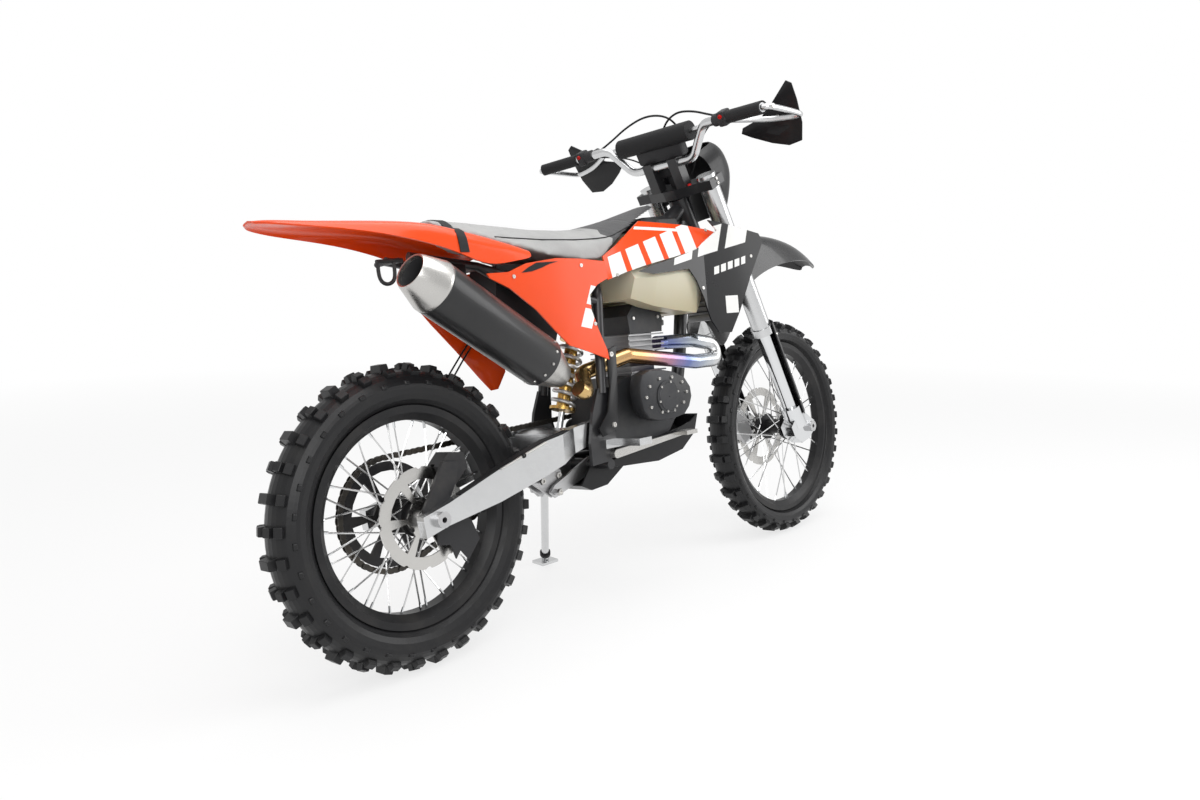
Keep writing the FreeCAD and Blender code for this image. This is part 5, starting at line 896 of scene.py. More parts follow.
class Workshop:
    """Turns meshes into pieces that ride on a body, and finds places on the CAD pieces."""

    def __init__(self, nodes: dict[str, bpy.types.Object], finishes: Finishes) -> None:
        """Keeps the CAD nodes and the finishes and makes the shared node trees."""
        self.nodes = nodes
        self.finishes = finishes
        self.solids: dict[str, BVHTree] = {}
        self.knob_tree = knob_ring()
        self.screw_tree = screw_set()
        self.link_tree = chain_links()

    def settle(self, piece: bpy.types.Object) -> bpy.types.Mesh:
        """The mesh of a piece with its modifiers applied; the piece itself is removed."""
        graph = bpy.context.evaluated_depsgraph_get()
        mesh = bpy.data.meshes.new_from_object(piece.evaluated_get(graph), depsgraph=graph)
        piece.modifiers.clear()
        bpy.data.objects.remove(piece)
        return mesh

    def loose(self, name: str, mesh: bpy.types.Mesh) -> bpy.types.Object:
        """A mesh as an object in the scene that rides on nothing yet."""
        piece = bpy.data.objects.new(name, mesh)
        bpy.context.scene.collection.objects.link(piece)
        return piece

    def add(self, name: str, mesh: bpy.types.Mesh, material: bpy.types.Material | None, body: Body = Body.FRAME,
            place: Matrix | None = None, replaces: Sequence[str] = (), smooth: bool = True) -> bpy.types.Object:
        """Makes a finished piece.

        Args:
            name: the piece's name.
            mesh: its mesh.
            material: its finish, or None where the mesh has one.
            body: the body that it rides on.
            place: the matrix into the row frame, or None for the body's own.
            replaces: the CAD nodes that it stands for.
            smooth: whether faces are shaded smooth below 35 degrees.

        Returns:
            The piece.
        """
        mesh.transform(POSTURE.home(body) if place is None else place)
        if material is not None:
            mesh.materials.clear()
            mesh.materials.append(material)
        if smooth:
            mesh.shade_smooth()
            mesh.set_sharp_from_angle(angle=math.radians(35))
        piece = self.loose(name, mesh)
        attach(piece, body.value)
        if replaces:
            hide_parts(*replaces)
        LOG.info("piece %s on %s, %d faces", name, body.value, len(mesh.polygons))
        return piece

    def points(self, name: str, spots: Sequence[Spot], key: str, unit: float) -> bpy.types.Object:
        """A loose piece of bare points with a vector each, for a node tree."""
        mesh = bpy.data.meshes.new(name)
        mesh.from_pydata([tuple(place * unit) for place, _ in spots], [], [])
        values = mesh.attributes.new(key, "FLOAT_VECTOR", "POINT")
        for item, spot in zip(values.data, spots):
            item.vector = spot[1]
        return self.loose(f"{name}_points", mesh)

    def screws(self, name: str, spots: Sequence[Spot], material: bpy.types.Material, radius: float, height: float,
               recess: float = 0.5, sides: int = 12, body: Body = Body.FRAME, place: Matrix | None = None,
               unit: float = MM) -> None:
        """Makes screws on many spots as one piece.

        Args:
            name: the piece's name.
            spots: a place and a direction for each.
            material: its finish.
            radius: the head's radius in metres.
            height: its height in metres.
            recess: the share of the head that its socket takes.
            sides: how many sides the head has.
            body: the body that it rides on.
            place: the matrix into the row frame, or None for the body's own.
            unit: the length in metres of the spots' unit.
        """
        piece = self.points(name, spots, "way", unit)
        self.screw_tree.use(piece, Radius=radius, Height=height, Recess=recess, Sides=sides, Material=material)
        self.add(name, self.settle(piece), None, body, place, smooth=False)

    def probe(self, node: str, start: Sequence[float], way: Sequence[float], sink: float = 0.0) -> list[Spot]:
        """Where a ray meets a CAD node, in the upright machine's frame and millimetres.

        Args:
            node: the CAD node's name.
            start: where the ray starts.
            way: its direction.
            sink: how far below the surface the place is set.

        Returns:
            The place and the normal there, or nothing where it passes by.
        """
        if node not in self.solids:
            self.solids[node] = solid_tree(self.nodes[node])
        turn = MACHINE.to_3x3()
        place, normal, _, _ = self.solids[node].ray_cast(MACHINE @ (Vector(start) * MM), turn @ Vector(way))
        if place is None:
            return []
        normal = (turn.inverted() @ normal).normalized()
        return [((MACHINE.inverted() @ place) / MM - normal * sink, normal)]

    def flank(self, node: str, places: Sequence[tuple[float, float]], side: int, sink: float = 0.4) -> list[Spot]:
        """Spots on one flank of a node, from places along and up."""
        return [spot for x, z in places for spot in self.probe(node, (x, side * 400.0, z), (0.0, -side, 0.0), sink)]

    def plate(self, plane: str, start: float, thickness: float, outline: Outline,
              soften: float = 1.2) -> bpy.types.Mesh:
        """A flat plate drawn from its outline, with softened edges.

        Args:
            plane: the two axes of the outline.
            start: where the plate starts along the third axis.
            thickness: how far it goes from there.
            outline: its corners.
            soften: the width of the softened edges.

        Returns:
            The mesh.
        """
        axes = ["XYZ".index(letter) for letter in plane]
        shape = bmesh.new()
        rings = []
        for level in (start, start + thickness):
            rings.append([])
            for pair in outline:
                spot = Vector((level, level, level))
                for axis, value in zip(axes, pair):
                    spot[axis] = value
                rings[-1].append(shape.verts.new(spot * MM))
        for number in range(len(outline)):
            after = (number + 1) % len(outline)
            shape.faces.new((rings[0][number], rings[0][after], rings[1][after], rings[1][number]))
        for ring in rings:
            shape.faces.new(ring)
        piece = self.loose("plate", mesh_of(shape, True))
        bevel(piece, soften * MM, 50, 2)
        return self.settle(piece)

    def block(self, low: Point, high: Point, soften: float = 1.5) -> bpy.types.Mesh:
        """A block between two corners."""
        outline = ((low[0], low[1]), (high[0], low[1]), (high[0], high[1]), (low[0], high[1]))
        return self.plate("XY", low[2], high[2] - low[2], outline, soften)

    def skin(self, rows: Sequence[Sequence[Point]], thick: float) -> bpy.types.Mesh:
        """A smooth moulded skin through rows of as many points each."""
        shape = bmesh.new()
        verts = [[shape.verts.new(Vector(point) * MM) for point in row] for row in rows]
        for first, second in zip(verts, verts[1:]):
            for a, b, c, d in zip(first, first[1:], second[1:], second):
                shape.faces.new((a, d, c, b))
        piece = self.loose("skin", mesh_of(shape))
        smooth = piece.modifiers.new("smooth", "SUBSURF")
        smooth.levels = smooth.render_levels = 2
        wall = piece.modifiers.new("wall", "SOLIDIFY")
        wall.thickness = thick * MM
        wall.offset = -1.0
        return self.settle(piece)


# Sub-assemblies


@dataclass(frozen=True)
class KnobbyTyre:
    """A knobby tyre: a rounded carcass with rows of centre, pair and shoulder knobs."""

    name: str
    body: Body
    radius: float
    half_width: float
    bead: float
    rim_half_width: float
    rows: int
    ridge: float = 0.060
    tall: float = 0.015
    sunk: float = 0.004
    enlarged: float = 1.12
    centre_knob: Point = (0.021, 0.036, 0.0)
    pair_knob: Point = (0.020, 0.018, 0.0)
    pair_place: float = 0.017
    edge_knob: Point = (0.022, 0.018, 0.003)
    edge_share: float = 0.77
    wall_knob: Point = (0.016, 0.011, 0.0055)

    def ridge_height(self, across: float) -> float:
        """How far out the knob tops reach at a distance from the middle plane."""
        return self.radius - self.ridge + math.sqrt(self.ridge ** 2 - across ** 2)

    def profile(self) -> list[tuple[float, float]]:
        """The carcass section, from the left bead over the tread to the right bead."""
        half, tall, rim = self.half_width, self.radius - self.bead, self.rim_half_width
        tread = [(half * share, self.ridge_height(half * share) - self.tall) for share in (0, 0.24, 0.46, 0.64, 0.8)]
        wall = [(half * share, self.bead + tall * up)
                for share, up in ((0.93, 0.58), (0.99, 0.52), (1, 0.44), (0.95, 0.31), (0.82, 0.19))]
        foot = [(rim + 0.0006, self.bead + 0.0105), (rim - 0.0052, self.bead + 0.0068),
                (rim - 0.0054, self.bead + 0.0006)]
        right = tread + wall + foot
        return [(-place, size) for place, size in reversed(right[1:])] + right

    def build(self, shop: Workshop) -> None:
        """Makes the tyre in place of its CAD node."""
        rubber = shop.finishes.tyre
        piece = shop.loose(f"{self.name}_rings", revolve(self.profile(), self.rows * 4, 1.0))
        piece.data.materials.append(rubber)
        turn, half_rows = math.tau / self.rows, self.rows // 2
        edge, down = self.half_width * self.edge_share, -math.pi / 2
        rings = [(half_rows, 0.0, 0.0, self.centre_knob)]
        rings += [(half_rows, side * self.pair_place, turn, self.pair_knob) for side in (1, -1)]
        rings += [(self.rows, side * edge, 0.0, self.edge_knob) for side in (1, -1)]
        for count, across, ahead, (long, wide, more) in rings:
            tilt = -math.asin(across / self.ridge)
            deep = self.tall + self.sunk + more
            shop.knob_tree.use(
                piece, Count=count, Radius=self.ridge_height(across) - deep * math.cos(tilt),
                Place=across + deep * math.sin(tilt), Tilt=tilt, Phase=down + turn / 2 + ahead,
                Size=(long * self.enlarged, wide * self.enlarged, deep), Draft=0.86, Material=rubber,
            )
        for side in (-1, 1):
            shop.knob_tree.use(
                piece, Count=self.rows, Radius=self.bead + (self.radius - self.bead) * 0.545,
                Place=side * (self.half_width * 0.93), Tilt=-side * 1.25, Phase=down,
                Size=self.wall_knob, Draft=0.7, Material=rubber,
            )
        bevel(piece, 0.0011, 40, 1)
        shop.add(f"{self.name}_rubber", shop.settle(piece), None, self.body, None, (self.name,), smooth=False)


@dataclass(frozen=True)
class SpokedWheel:
    """The small parts of one wheel: spoke nipples and disc bolts."""

    name: str
    body: Body
    bead: float
    disc_side: float
    bolt_radius: float = 0.0395
    count: int = 36
    lacing_deg: float = 52.0
    spread: float = 0.005
    hub_radius: float = 0.0385
    hub_half: float = 0.0355
    stagger: float = 0.0015
    rim_depth: float = 0.026
    bolt_count: int = 6

    def nipples(self) -> list[Spot]:
        """Where each nipple stands at the rim and where it points."""
        spots = []
        floor = self.bead - self.rim_depth
        for number in range(self.count):
            side, way = ((1, 1), (1, -1), (-1, 1), (-1, -1))[number % 4]
            near = math.tau * number / self.count
            far = near + way * math.radians(self.lacing_deg)
            across = side * (self.hub_half + way * self.stagger)
            start = Vector((self.hub_radius * math.cos(near), across, self.hub_radius * math.sin(near)))
            end = Vector((floor * math.cos(far), side * self.spread, floor * math.sin(far)))
            inward = (start - end).normalized()
            spots.append((end - inward * 0.002, inward))
        return spots

    def bolts(self, shop: Workshop) -> list[Spot]:
        """Where rays from beside the wheel meet its disc or hub."""
        place = POSTURE.home(self.body)
        solids = [solid_tree(shop.nodes[f"{self.name}_{part}"]) for part in ("disc", "rim")]
        spots = []
        for number in range(self.bolt_count):
            angle = math.tau * (number + 0.5) / self.bolt_count
            way = Vector((math.cos(angle), 0, math.sin(angle)))
            start = place @ (way * self.bolt_radius + Vector((0, self.disc_side * 0.3, 0)))
            inward = place.to_3x3() @ Vector((0, -self.disc_side, 0))
            found = [hit for hit in (solid.ray_cast(start, inward) for solid in solids) if hit[0] is not None]
            if found:
                nearest = min(found, key=lambda hit: hit[3])
                spots.append((place.inverted() @ nearest[0], Vector((0, self.disc_side, 0))))
        return spots

    def build(self, shop: Workshop) -> None:
        """Makes the nipples and the bolts."""
        shop.screws(f"{self.name}_nipples", self.nipples(), shop.finishes.chrome, 0.0034, 0.017, 0.8, 6,
                    self.body, unit=1.0)
        shop.screws(f"{self.name}_disc_bolts", self.bolts(shop), shop.finishes.steel_black, 0.006, 0.0035, 0.55, 12,
                    self.body, unit=1.0)


WHEELS = (
    KnobbyTyre("rear_tyre", Body.REAR_WHEEL, 0.334, 0.052, bead=0.235, rim_half_width=0.033, rows=32),
    KnobbyTyre("front_tyre", Body.FRONT_WHEEL, 0.346, 0.042, bead=0.272, rim_half_width=0.025, rows=34),
    SpokedWheel("rear", Body.REAR_WHEEL, bead=0.235, disc_side=-1.0),
    SpokedWheel("front", Body.FRONT_WHEEL, bead=0.272, disc_side=1.0),
)


@dataclass(frozen=True)
class DriveChain:
    """The drive chain round both sprockets, link by link."""

    pitch: float = 0.015875
    rear_teeth: int = 50
    front_teeth: int = 13
    rear: tuple[float, float] = (0.0, 0.335)
    front: tuple[float, float] = (0.590, 0.452)
    across: float = 0.066

    def line(self) -> list[tuple[float, float]]:
        """The closed line round both sprockets, in the machine's X and Z."""
        big, small = (self.pitch / 2 / math.sin(math.pi / teeth) for teeth in (self.rear_teeth, self.front_teeth))
        ahead, up = self.front[0] - self.rear[0], self.front[1] - self.rear[1]
        lean = math.asin((big - small) / math.hypot(ahead, up))
        top, low = math.atan2(up, ahead) - lean, math.atan2(up, ahead) + lean
        line = []
        for centre, radius, start, end, count in (
            (self.front, small, top + math.pi / 2, low - math.pi / 2, 24),
            (self.rear, big, low - math.pi / 2, top + math.pi / 2 - math.tau, 72),
        ):
            for number in range(count + 1):
                angle = start + (end - start) * number / count
                line.append((centre[0] + radius * math.cos(angle), centre[1] + radius * math.sin(angle)))
        return line + line[:1]

    def links(self) -> list[Spot]:
        """Places and turns of the links, a pitch apart."""
        line = self.line()
        total = sum(math.dist(a, b) for a, b in zip(line, line[1:]))
        count = int(total / self.pitch / 2) * 2
        spots, walked, goal = [], 0.0, 0.0
        for a, b in zip(line, line[1:]):
            length = math.dist(a, b)
            while goal < walked + length and len(spots) < count:
                share = (goal - walked) / length
                place = Vector((a[0] + (b[0] - a[0]) * share, self.across, a[1] + (b[1] - a[1]) * share))
                spots.append((place, Vector((0.0, -math.atan2(b[1] - a[1], b[0] - a[0]), 0.0))))
                goal += total / count
            walked += length
        return spots

    def build(self, shop: Workshop) -> None:
        """Makes the links in place of the CAD chain."""
        piece = shop.points("chain", self.links(), "turn", 1.0)
        shop.link_tree.use(piece, Pitch=self.pitch, Material=shop.finishes.chain)
        shop.add("drive_chain_links", shop.settle(piece), None, replaces=("chain",), smooth=False)


@dataclass(frozen=True)
class Saddle:
    """The seat as a padded cover, its seam piping and the strap over its rear."""

    voxel: float = 0.0065
    shrink: float = 0.004
    pressure: float = 4.0
    cap: float = 0.006
    frames: int = 20
    strap_x: float = 138.0
    strap_z: float = 905.0
    strap_half: float = 0.012
    piping: range = range(200, 777, 24)
    piping_deg: float = 66.0
    piping_z: float = 892.0
    rise_x: float = 620.0
    rise: float = 0.42

    def cover(self, shop: Workshop) -> bpy.types.Mesh:
        """The CAD seat drawn in, remeshed, swelled under its cover and smoothed."""
        shape = bmesh.new()
        shape.from_mesh(shop.nodes["seat"].data)
        bmesh.ops.remove_doubles(shape, verts=shape.verts, dist=1e-5)
        bmesh.ops.recalc_face_normals(shape, faces=shape.faces)
        shape.normal_update()
        for vert in shape.verts:
            vert.co -= vert.normal * self.shrink
        piece = shop.loose("pad_start", mesh_of(shape))
        remesh = piece.modifiers.new("remesh", "REMESH")
        remesh.mode = "VOXEL"
        remesh.voxel_size = self.voxel
        smooth = piece.modifiers.new("smooth", "SMOOTH")
        smooth.factor = 0.5
        smooth.iterations = 8
        mesh = shop.settle(piece)
        mesh = self.swell(shop, mesh)
        piece = shop.loose("pad_fine", mesh)
        fine = piece.modifiers.new("fine", "SUBSURF")
        fine.levels = fine.render_levels = 1
        return shop.settle(piece)

    def swell(self, shop: Workshop, mesh: bpy.types.Mesh) -> bpy.types.Mesh:
        """Runs the cover as pressed cloth and holds back how far each point may move."""
        start = [vert.co.copy() for vert in mesh.vertices]
        down = MACHINE.to_3x3() @ Vector((0, 0, -1))
        held = [vert.index for vert in mesh.vertices if vert.normal.dot(down) > 0.7]
        piece = shop.loose("pad_cloth", mesh)
        piece.vertex_groups.new(name="held").add(held, 1.0, "REPLACE")
        cloth = piece.modifiers.new("swell", "CLOTH")
        cloth.settings.use_pressure = True
        cloth.settings.uniform_pressure_force = self.pressure
        cloth.settings.effector_weights.gravity = 0.0
        cloth.settings.vertex_group_mass = "held"
        cloth.settings.quality = 4
        cloth.point_cache.frame_start = 1
        cloth.point_cache.frame_end = self.frames
        scene = bpy.context.scene
        for number in range(1, self.frames + 1):
            scene.frame_set(number)
        result = shop.settle(piece)
        for vert, first in zip(result.vertices, start):
            move = vert.co - first
            if move.length > self.cap:
                vert.co = first + move.normalized() * self.cap
        scene.frame_set(1)
        return result

    def rail(self, tree: BVHTree, x: float, turn_deg: float, centre_z: float) -> list[Spot]:
        """A place and outward way on the cover at a section, in row metres."""
        turn = math.radians(turn_deg)
        out = MACHINE.to_3x3() @ Vector((0, math.sin(turn), math.cos(turn)))
        centre = MACHINE @ (Vector((x, 0, centre_z)) * MM)
        place, normal, _, _ = tree.ray_cast(centre + out * 0.35, -out)
        return [] if place is None else [(place, normal)]

    def strap(self, shop: Workshop, over: Sequence[bpy.types.Object]) -> None:
        """Lays the strap round the seat and whatever else lies under it."""
        trees = [solid_tree(piece) for piece in over]
        centre = MACHINE @ (Vector((self.strap_x, 0, self.strap_z)) * MM)
        rails = []
        for turn in range(-96, 97, 8):
            found = [spot for tree in trees for spot in self.rail(tree, self.strap_x, turn, self.strap_z)]
            if found:
                rails.append(max(found, key=lambda spot: (spot[0] - centre).length))
        across = MACHINE.to_3x3() @ Vector((1, 0, 0))
        shop.add("seat_strap", strip(rails, across, self.strap_half, 0.0022), shop.finishes.rubber, place=ROW)

    def build(self, shop: Workshop) -> None:
        """Makes the pad, the piping and the strap."""
        pad = shop.add("seat_pad", self.cover(shop), shop.finishes.seat, place=ROW, replaces=("seat",))
        tree = solid_tree(pad)
        self.strap(shop, (pad, bpy.data.objects["rear_fender_arch"]))
        for side, word in SIDES:
            line = []
            for x in self.piping:
                up = self.piping_z + max(0.0, x - self.rise_x) * self.rise
                for place, normal in self.rail(tree, x, side * self.piping_deg, up):
                    line.append(place + normal * 0.0004)
            shop.add(f"seat_piping_{word}", tube(line, 0.0016, 1.0), shop.finishes.rubber, place=ROW)


@dataclass(frozen=True)
class Arch:
    """A thin moulded arch, such as a fender: stations with an edge, a shoulder and a ridge."""

    name: str
    body: Body
    rear: float
    length: float
    half_width: float
    low: float
    height: float
    shares: tuple[tuple[float, ...], ...]
    wall: float = 4.0
    ridge: float = 2.5

    def outline(self, row: tuple[float, ...]) -> list[Point]:
        """The points across one station, from the right edge to the left one."""
        share, edge, edge_z, shoulder, shoulder_z, ridge_z = row
        x = self.rear + self.length * share
        right = [
            (edge, edge_z), (edge * 0.55 + shoulder * 0.45, edge_z * 0.5 + shoulder_z * 0.5),
            (shoulder, shoulder_z), (shoulder * 0.78, shoulder_z * 0.25 + ridge_z * 0.75), (shoulder * 0.4, ridge_z),
        ]
        points = [(x, -self.half_width * across, self.low + self.height * up) for across, up in right]
        middle = (x, 0.0, self.low + self.height * ridge_z + self.ridge)
        return points + [middle] + [(x, -y, z) for x, y, z in reversed(points)]

    def build(self, shop: Workshop, material: bpy.types.Material) -> None:
        """Makes the arch in place of its CAD node."""
        mesh = shop.skin([self.outline(row) for row in self.shares], self.wall)
        shop.add(f"{self.name}_arch", mesh, material, self.body, None, (self.name,))


REAR_FENDER = Arch(
    "rear_fender", Body.FRAME, -291.0, 611.0, 128.0, 840.0, 126.0, (
        (0.004, 0.16, 0.93, 0.12, 0.95, 0.962), (0.02, 0.30, 0.92, 0.24, 0.948, 0.965),
        (0.045, 0.40, 0.90, 0.34, 0.945, 0.965), (0.11, 0.52, 0.865, 0.45, 0.93, 0.96),
        (0.2, 0.62, 0.83, 0.54, 0.915, 0.965), (0.39, 0.75, 0.75, 0.66, 0.92, 1.0),
        (0.58, 0.84, 0.57, 0.77, 0.91, 1.0), (0.69, 0.90, 0.40, 0.83, 0.79, 0.91),
        (0.80, 0.95, 0.17, 0.88, 0.69, 0.80), (0.92, 0.98, 0.27, 0.93, 0.56, 0.66), (1.0, 1.0, 0.32, 0.96, 0.45, 0.55),
    ))
FRONT_FENDER = Arch(
    "front_fender", Body.STEERING, -130.0, 661.0, 74.0, 344.0, 306.0, (
        (0.0, 0.80, 0.165, 0.62, 0.425, 0.535), (0.13, 0.92, 0.33, 0.76, 0.685, 0.795),
        (0.25, 0.92, 0.50, 0.80, 0.89, 1.0), (0.42, 0.95, 0.535, 0.82, 0.88, 0.98),
        (0.60, 1.0, 0.46, 0.84, 0.745, 0.835), (0.80, 0.95, 0.31, 0.78, 0.47, 0.555),
        (0.92, 0.78, 0.15, 0.62, 0.23, 0.29), (0.975, 0.56, 0.045, 0.44, 0.095, 0.13),
        (1.0, 0.34, 0.0, 0.26, 0.03, 0.05),
    ))


@dataclass(frozen=True)
class Mask:
    """The number plate ahead of the fork, with its rubber bands round the fork legs."""

    rear: float = 70.0
    depth: float = 150.0
    low: float = 724.0
    height: float = 216.0
    half_width: float = 100.0
    shares: tuple[tuple[float, float, float, float], ...] = (
        (0.0, 0.60, 0.24, 0.40), (0.08, 0.70, 0.32, 0.50), (0.2, 0.84, 0.42, 0.62), (0.4, 0.96, 0.60, 0.82),
        (0.56, 1.0, 0.72, 0.93), (0.72, 0.98, 0.74, 0.94), (0.85, 0.93, 0.74, 0.92), (0.95, 0.80, 0.72, 0.86),
        (1.0, 0.62, 0.70, 0.80),
    )

    def build(self, shop: Workshop) -> None:
        """Makes the plate and its bands."""
        rows = []
        for share, half, corner, front in reversed(self.shares):
            z, wide = self.low + self.height * share, self.half_width * half
            right = [(self.rear, wide), (self.rear + self.depth * corner * 0.5, wide * 0.98),
                     (self.rear + self.depth * corner, wide * 0.93), (self.rear + self.depth * front, wide * 0.36)]
            rows.append([(x, -y, z) for x, y in right] + [(x, y, z) for x, y in reversed(right)])
        shop.add("number_plate_cover", shop.skin(rows, 3.0), shop.finishes.black, Body.STEERING, None,
                 ("number_plate",))
        bands = [shop.block((22, side * 93 - 5, 812), (92, side * 93 + 5, 828)) for side in (-1, 1)]
        shop.add("number_plate_bands", merged(bands), shop.finishes.rubber, Body.STEERING)


@dataclass(frozen=True)
class HandGuards:
    """The flat bars from the ends of the handlebar and the black shields on them."""

    bar: tuple[Point, ...] = (
        (-62, 406, 1041), (-62, 420, 1041), (-44, 423, 1032), (20, 423, 1000), (78, 420, 970), (88, 409, 965),
        (80, 370, 971), (70, 325, 980), (50, 270, 1000), (36, 238, 1012),
    )
    shield: Outline = (
        (225, 958), (250, 939), (302, 909), (350, 892), (393, 898), (411, 945), (417, 1008), (416, 1052), (400, 1062),
        (331, 1010), (291, 984), (233, 972),
    )
    bolts: tuple[tuple[Point, Point], ...] = (((-52, 426.5, 1036), (0, 1, 0)), ((88.5, 345, 976), (-1, 0, 0)))
    bow_middle: float = 0.33
    bow_half: float = 0.095
    bow: float = 0.010
    set_back: float = 0.012

    def build(self, shop: Workshop) -> None:
        """Makes both sides in place of the CAD node, in two finishes."""
        bars, shields, spots = [], [], []
        for side in (-1, 1):
            bars.append(tube([(a, side * y, t) for a, y, t in self.bar], 0.0075))
            shield = shop.plate("YZ", 95.0, 4.0, tuple((side * y, t) for y, t in self.shield), 1.4)
            for vert in shield.vertices:
                across = (abs(vert.co.y) - self.bow_middle) / self.bow_half
                vert.co.x += self.bow * (1 - across * across) - self.set_back
            shields.append(shield)
            spots += [tuple(Vector((x, side * y, z)) for x, y, z in pair) for pair in self.bolts]
        look = shop.finishes
        shop.add("hand_guard_bars", merged(bars), look.alloy, Body.STEERING, None, ("handguards",))
        shop.add("hand_shields", merged(shields), look.black, Body.STEERING)
        shop.screws("hand_guard_bolts", spots, look.steel, 0.007, 0.004, body=Body.STEERING)


@dataclass(frozen=True)
class Silencer:
    """The muffler can, its brushed ends and its rivets, turned about the can's axis."""

    front: Point = (385.0, -124.0, 600.0)
    rear: Point = (-34.0, -150.0, 850.0)
    radius: float = 60.0
    cone: float = 77.5
    cap_share: float = 0.86
    mouth_share: float = 0.64

    def build(self, shop: Workshop) -> None:
        """Makes the can, its ends and the dark inside of its mouth: a black lining and a black disc deeper in, painted
        shade for the bore.
        """
        front, rear, look = Vector(self.front), Vector(self.rear), shop.finishes
        length, full, foot = (rear - front).length, self.radius, self.cone
        seam, mouth = length * self.cap_share, full * self.mouth_share
        for name, material, sides, replaces, profile in (
            ("muffler_cone", look.steel, 64, ("muffler",), (
                (0, 22), (0, 27), (6, 31), (foot * 0.5, 44), (foot - 1, full - 2), (foot - 1, 22))),
            ("muffler_can", look.can, 64, (), (
                (foot, 22), (foot, full - 1), (foot + 2, full), (seam - 1, full), (seam, full - 1), (seam, 22))),
            # A black lining in the mouth: painted shade for the bore.
            ("muffler_mouth_shade_lining", look.rubber, 64, (), ((length - 9, mouth - 4), (length - 26, 25), (length - 45, 24))),
            ("muffler_end", look.steel, 64, ("muffler_cap",), (
                (seam + 0.6, 24), (seam + 0.6, full - 0.5), (seam + 3, full + 0.2), (seam + 9, full),
                (length - 6, mouth + 3.5), (length, mouth), (length - 1, mouth - 3), (length - 10, mouth - 4))),
            # A black disc that closes the bore: painted shade for the depth of the pipe.
            ("muffler_bore_shade_disc", look.rubber, 24, (), (
                (length - 44, 0.0), (length - 44, 23.5), (length - 43, 23.5), (length - 43, 0.0))),
        ):
            shop.add(name, revolve(profile, sides), material, Body.FRAME, axis_frame(front, rear), replaces)

    def build_rivets(self, shop: Workshop) -> None:
        """Small rivets round both ends of the can."""
        front, rear = Vector(self.front), Vector(self.rear)
        axis = (rear - front).normalized()
        side = axis.cross(Vector((0, 0, 1))).normalized()
        spots = []
        for share in (0.19, 0.825):
            for number in range(12):
                turn = math.tau * (number + 0.5) / 12
                out = side * math.cos(turn) + side.cross(axis) * math.sin(turn)
                spots += shop.probe("muffler", front.lerp(rear, share) + out * 110, -out, 0.3)
        shop.screws("muffler_rivets", spots, shop.finishes.steel, 0.0036, 0.0018, 0.4, 10)


@dataclass(frozen=True)
class ShockUnit:
    """The shock absorber: a gold body, a chromed rod and a wound steel spring."""

    low: Point = (440.0, 0.0, 352.0)
    high: Point = (572.0, 0.0, 740.0)
    base: float = 172.0
    coils: int = 7
    steps: int = 98
    spring_radius: float = 29.0
    wire: float = 0.005

    def build(self, shop: Workshop) -> None:
        """Makes the three parts in place of the CAD node."""
        low, high, base, look = Vector(self.low), Vector(self.high), self.base, shop.finishes
        place, length = axis_frame(low, high), (high - low).length
        top = length - 60
        body = revolve((
            (base - 6, 2), (base - 6, 33), (base + 2, 33), (base + 2, 17), (top, 17), (top, 33), (top + 14, 33),
            (top + 16, 24), (length - 14, 22), (length + 12, 14), (length + 12, 2)), 40)
        shop.add("shock_body", body, look.gold, Body.FRAME, place, ("shock_absorber",))
        rod = revolve(((-14, 2), (-14, 13), (14, 13), (18, 8), (base - 8, 8), (base - 8, 2)), 28)
        shop.add("shock_rod", rod, look.chrome, Body.FRAME, place)
        route = []
        for number in range(self.steps + 1):
            angle = math.tau * self.coils * number / self.steps
            along = base + 7 + (top - base - 14) * number / self.steps
            route.append((self.spring_radius * math.cos(angle), along, self.spring_radius * math.sin(angle)))
        shop.add("shock_spring", tube(route, self.wire), look.spring, Body.FRAME, place)


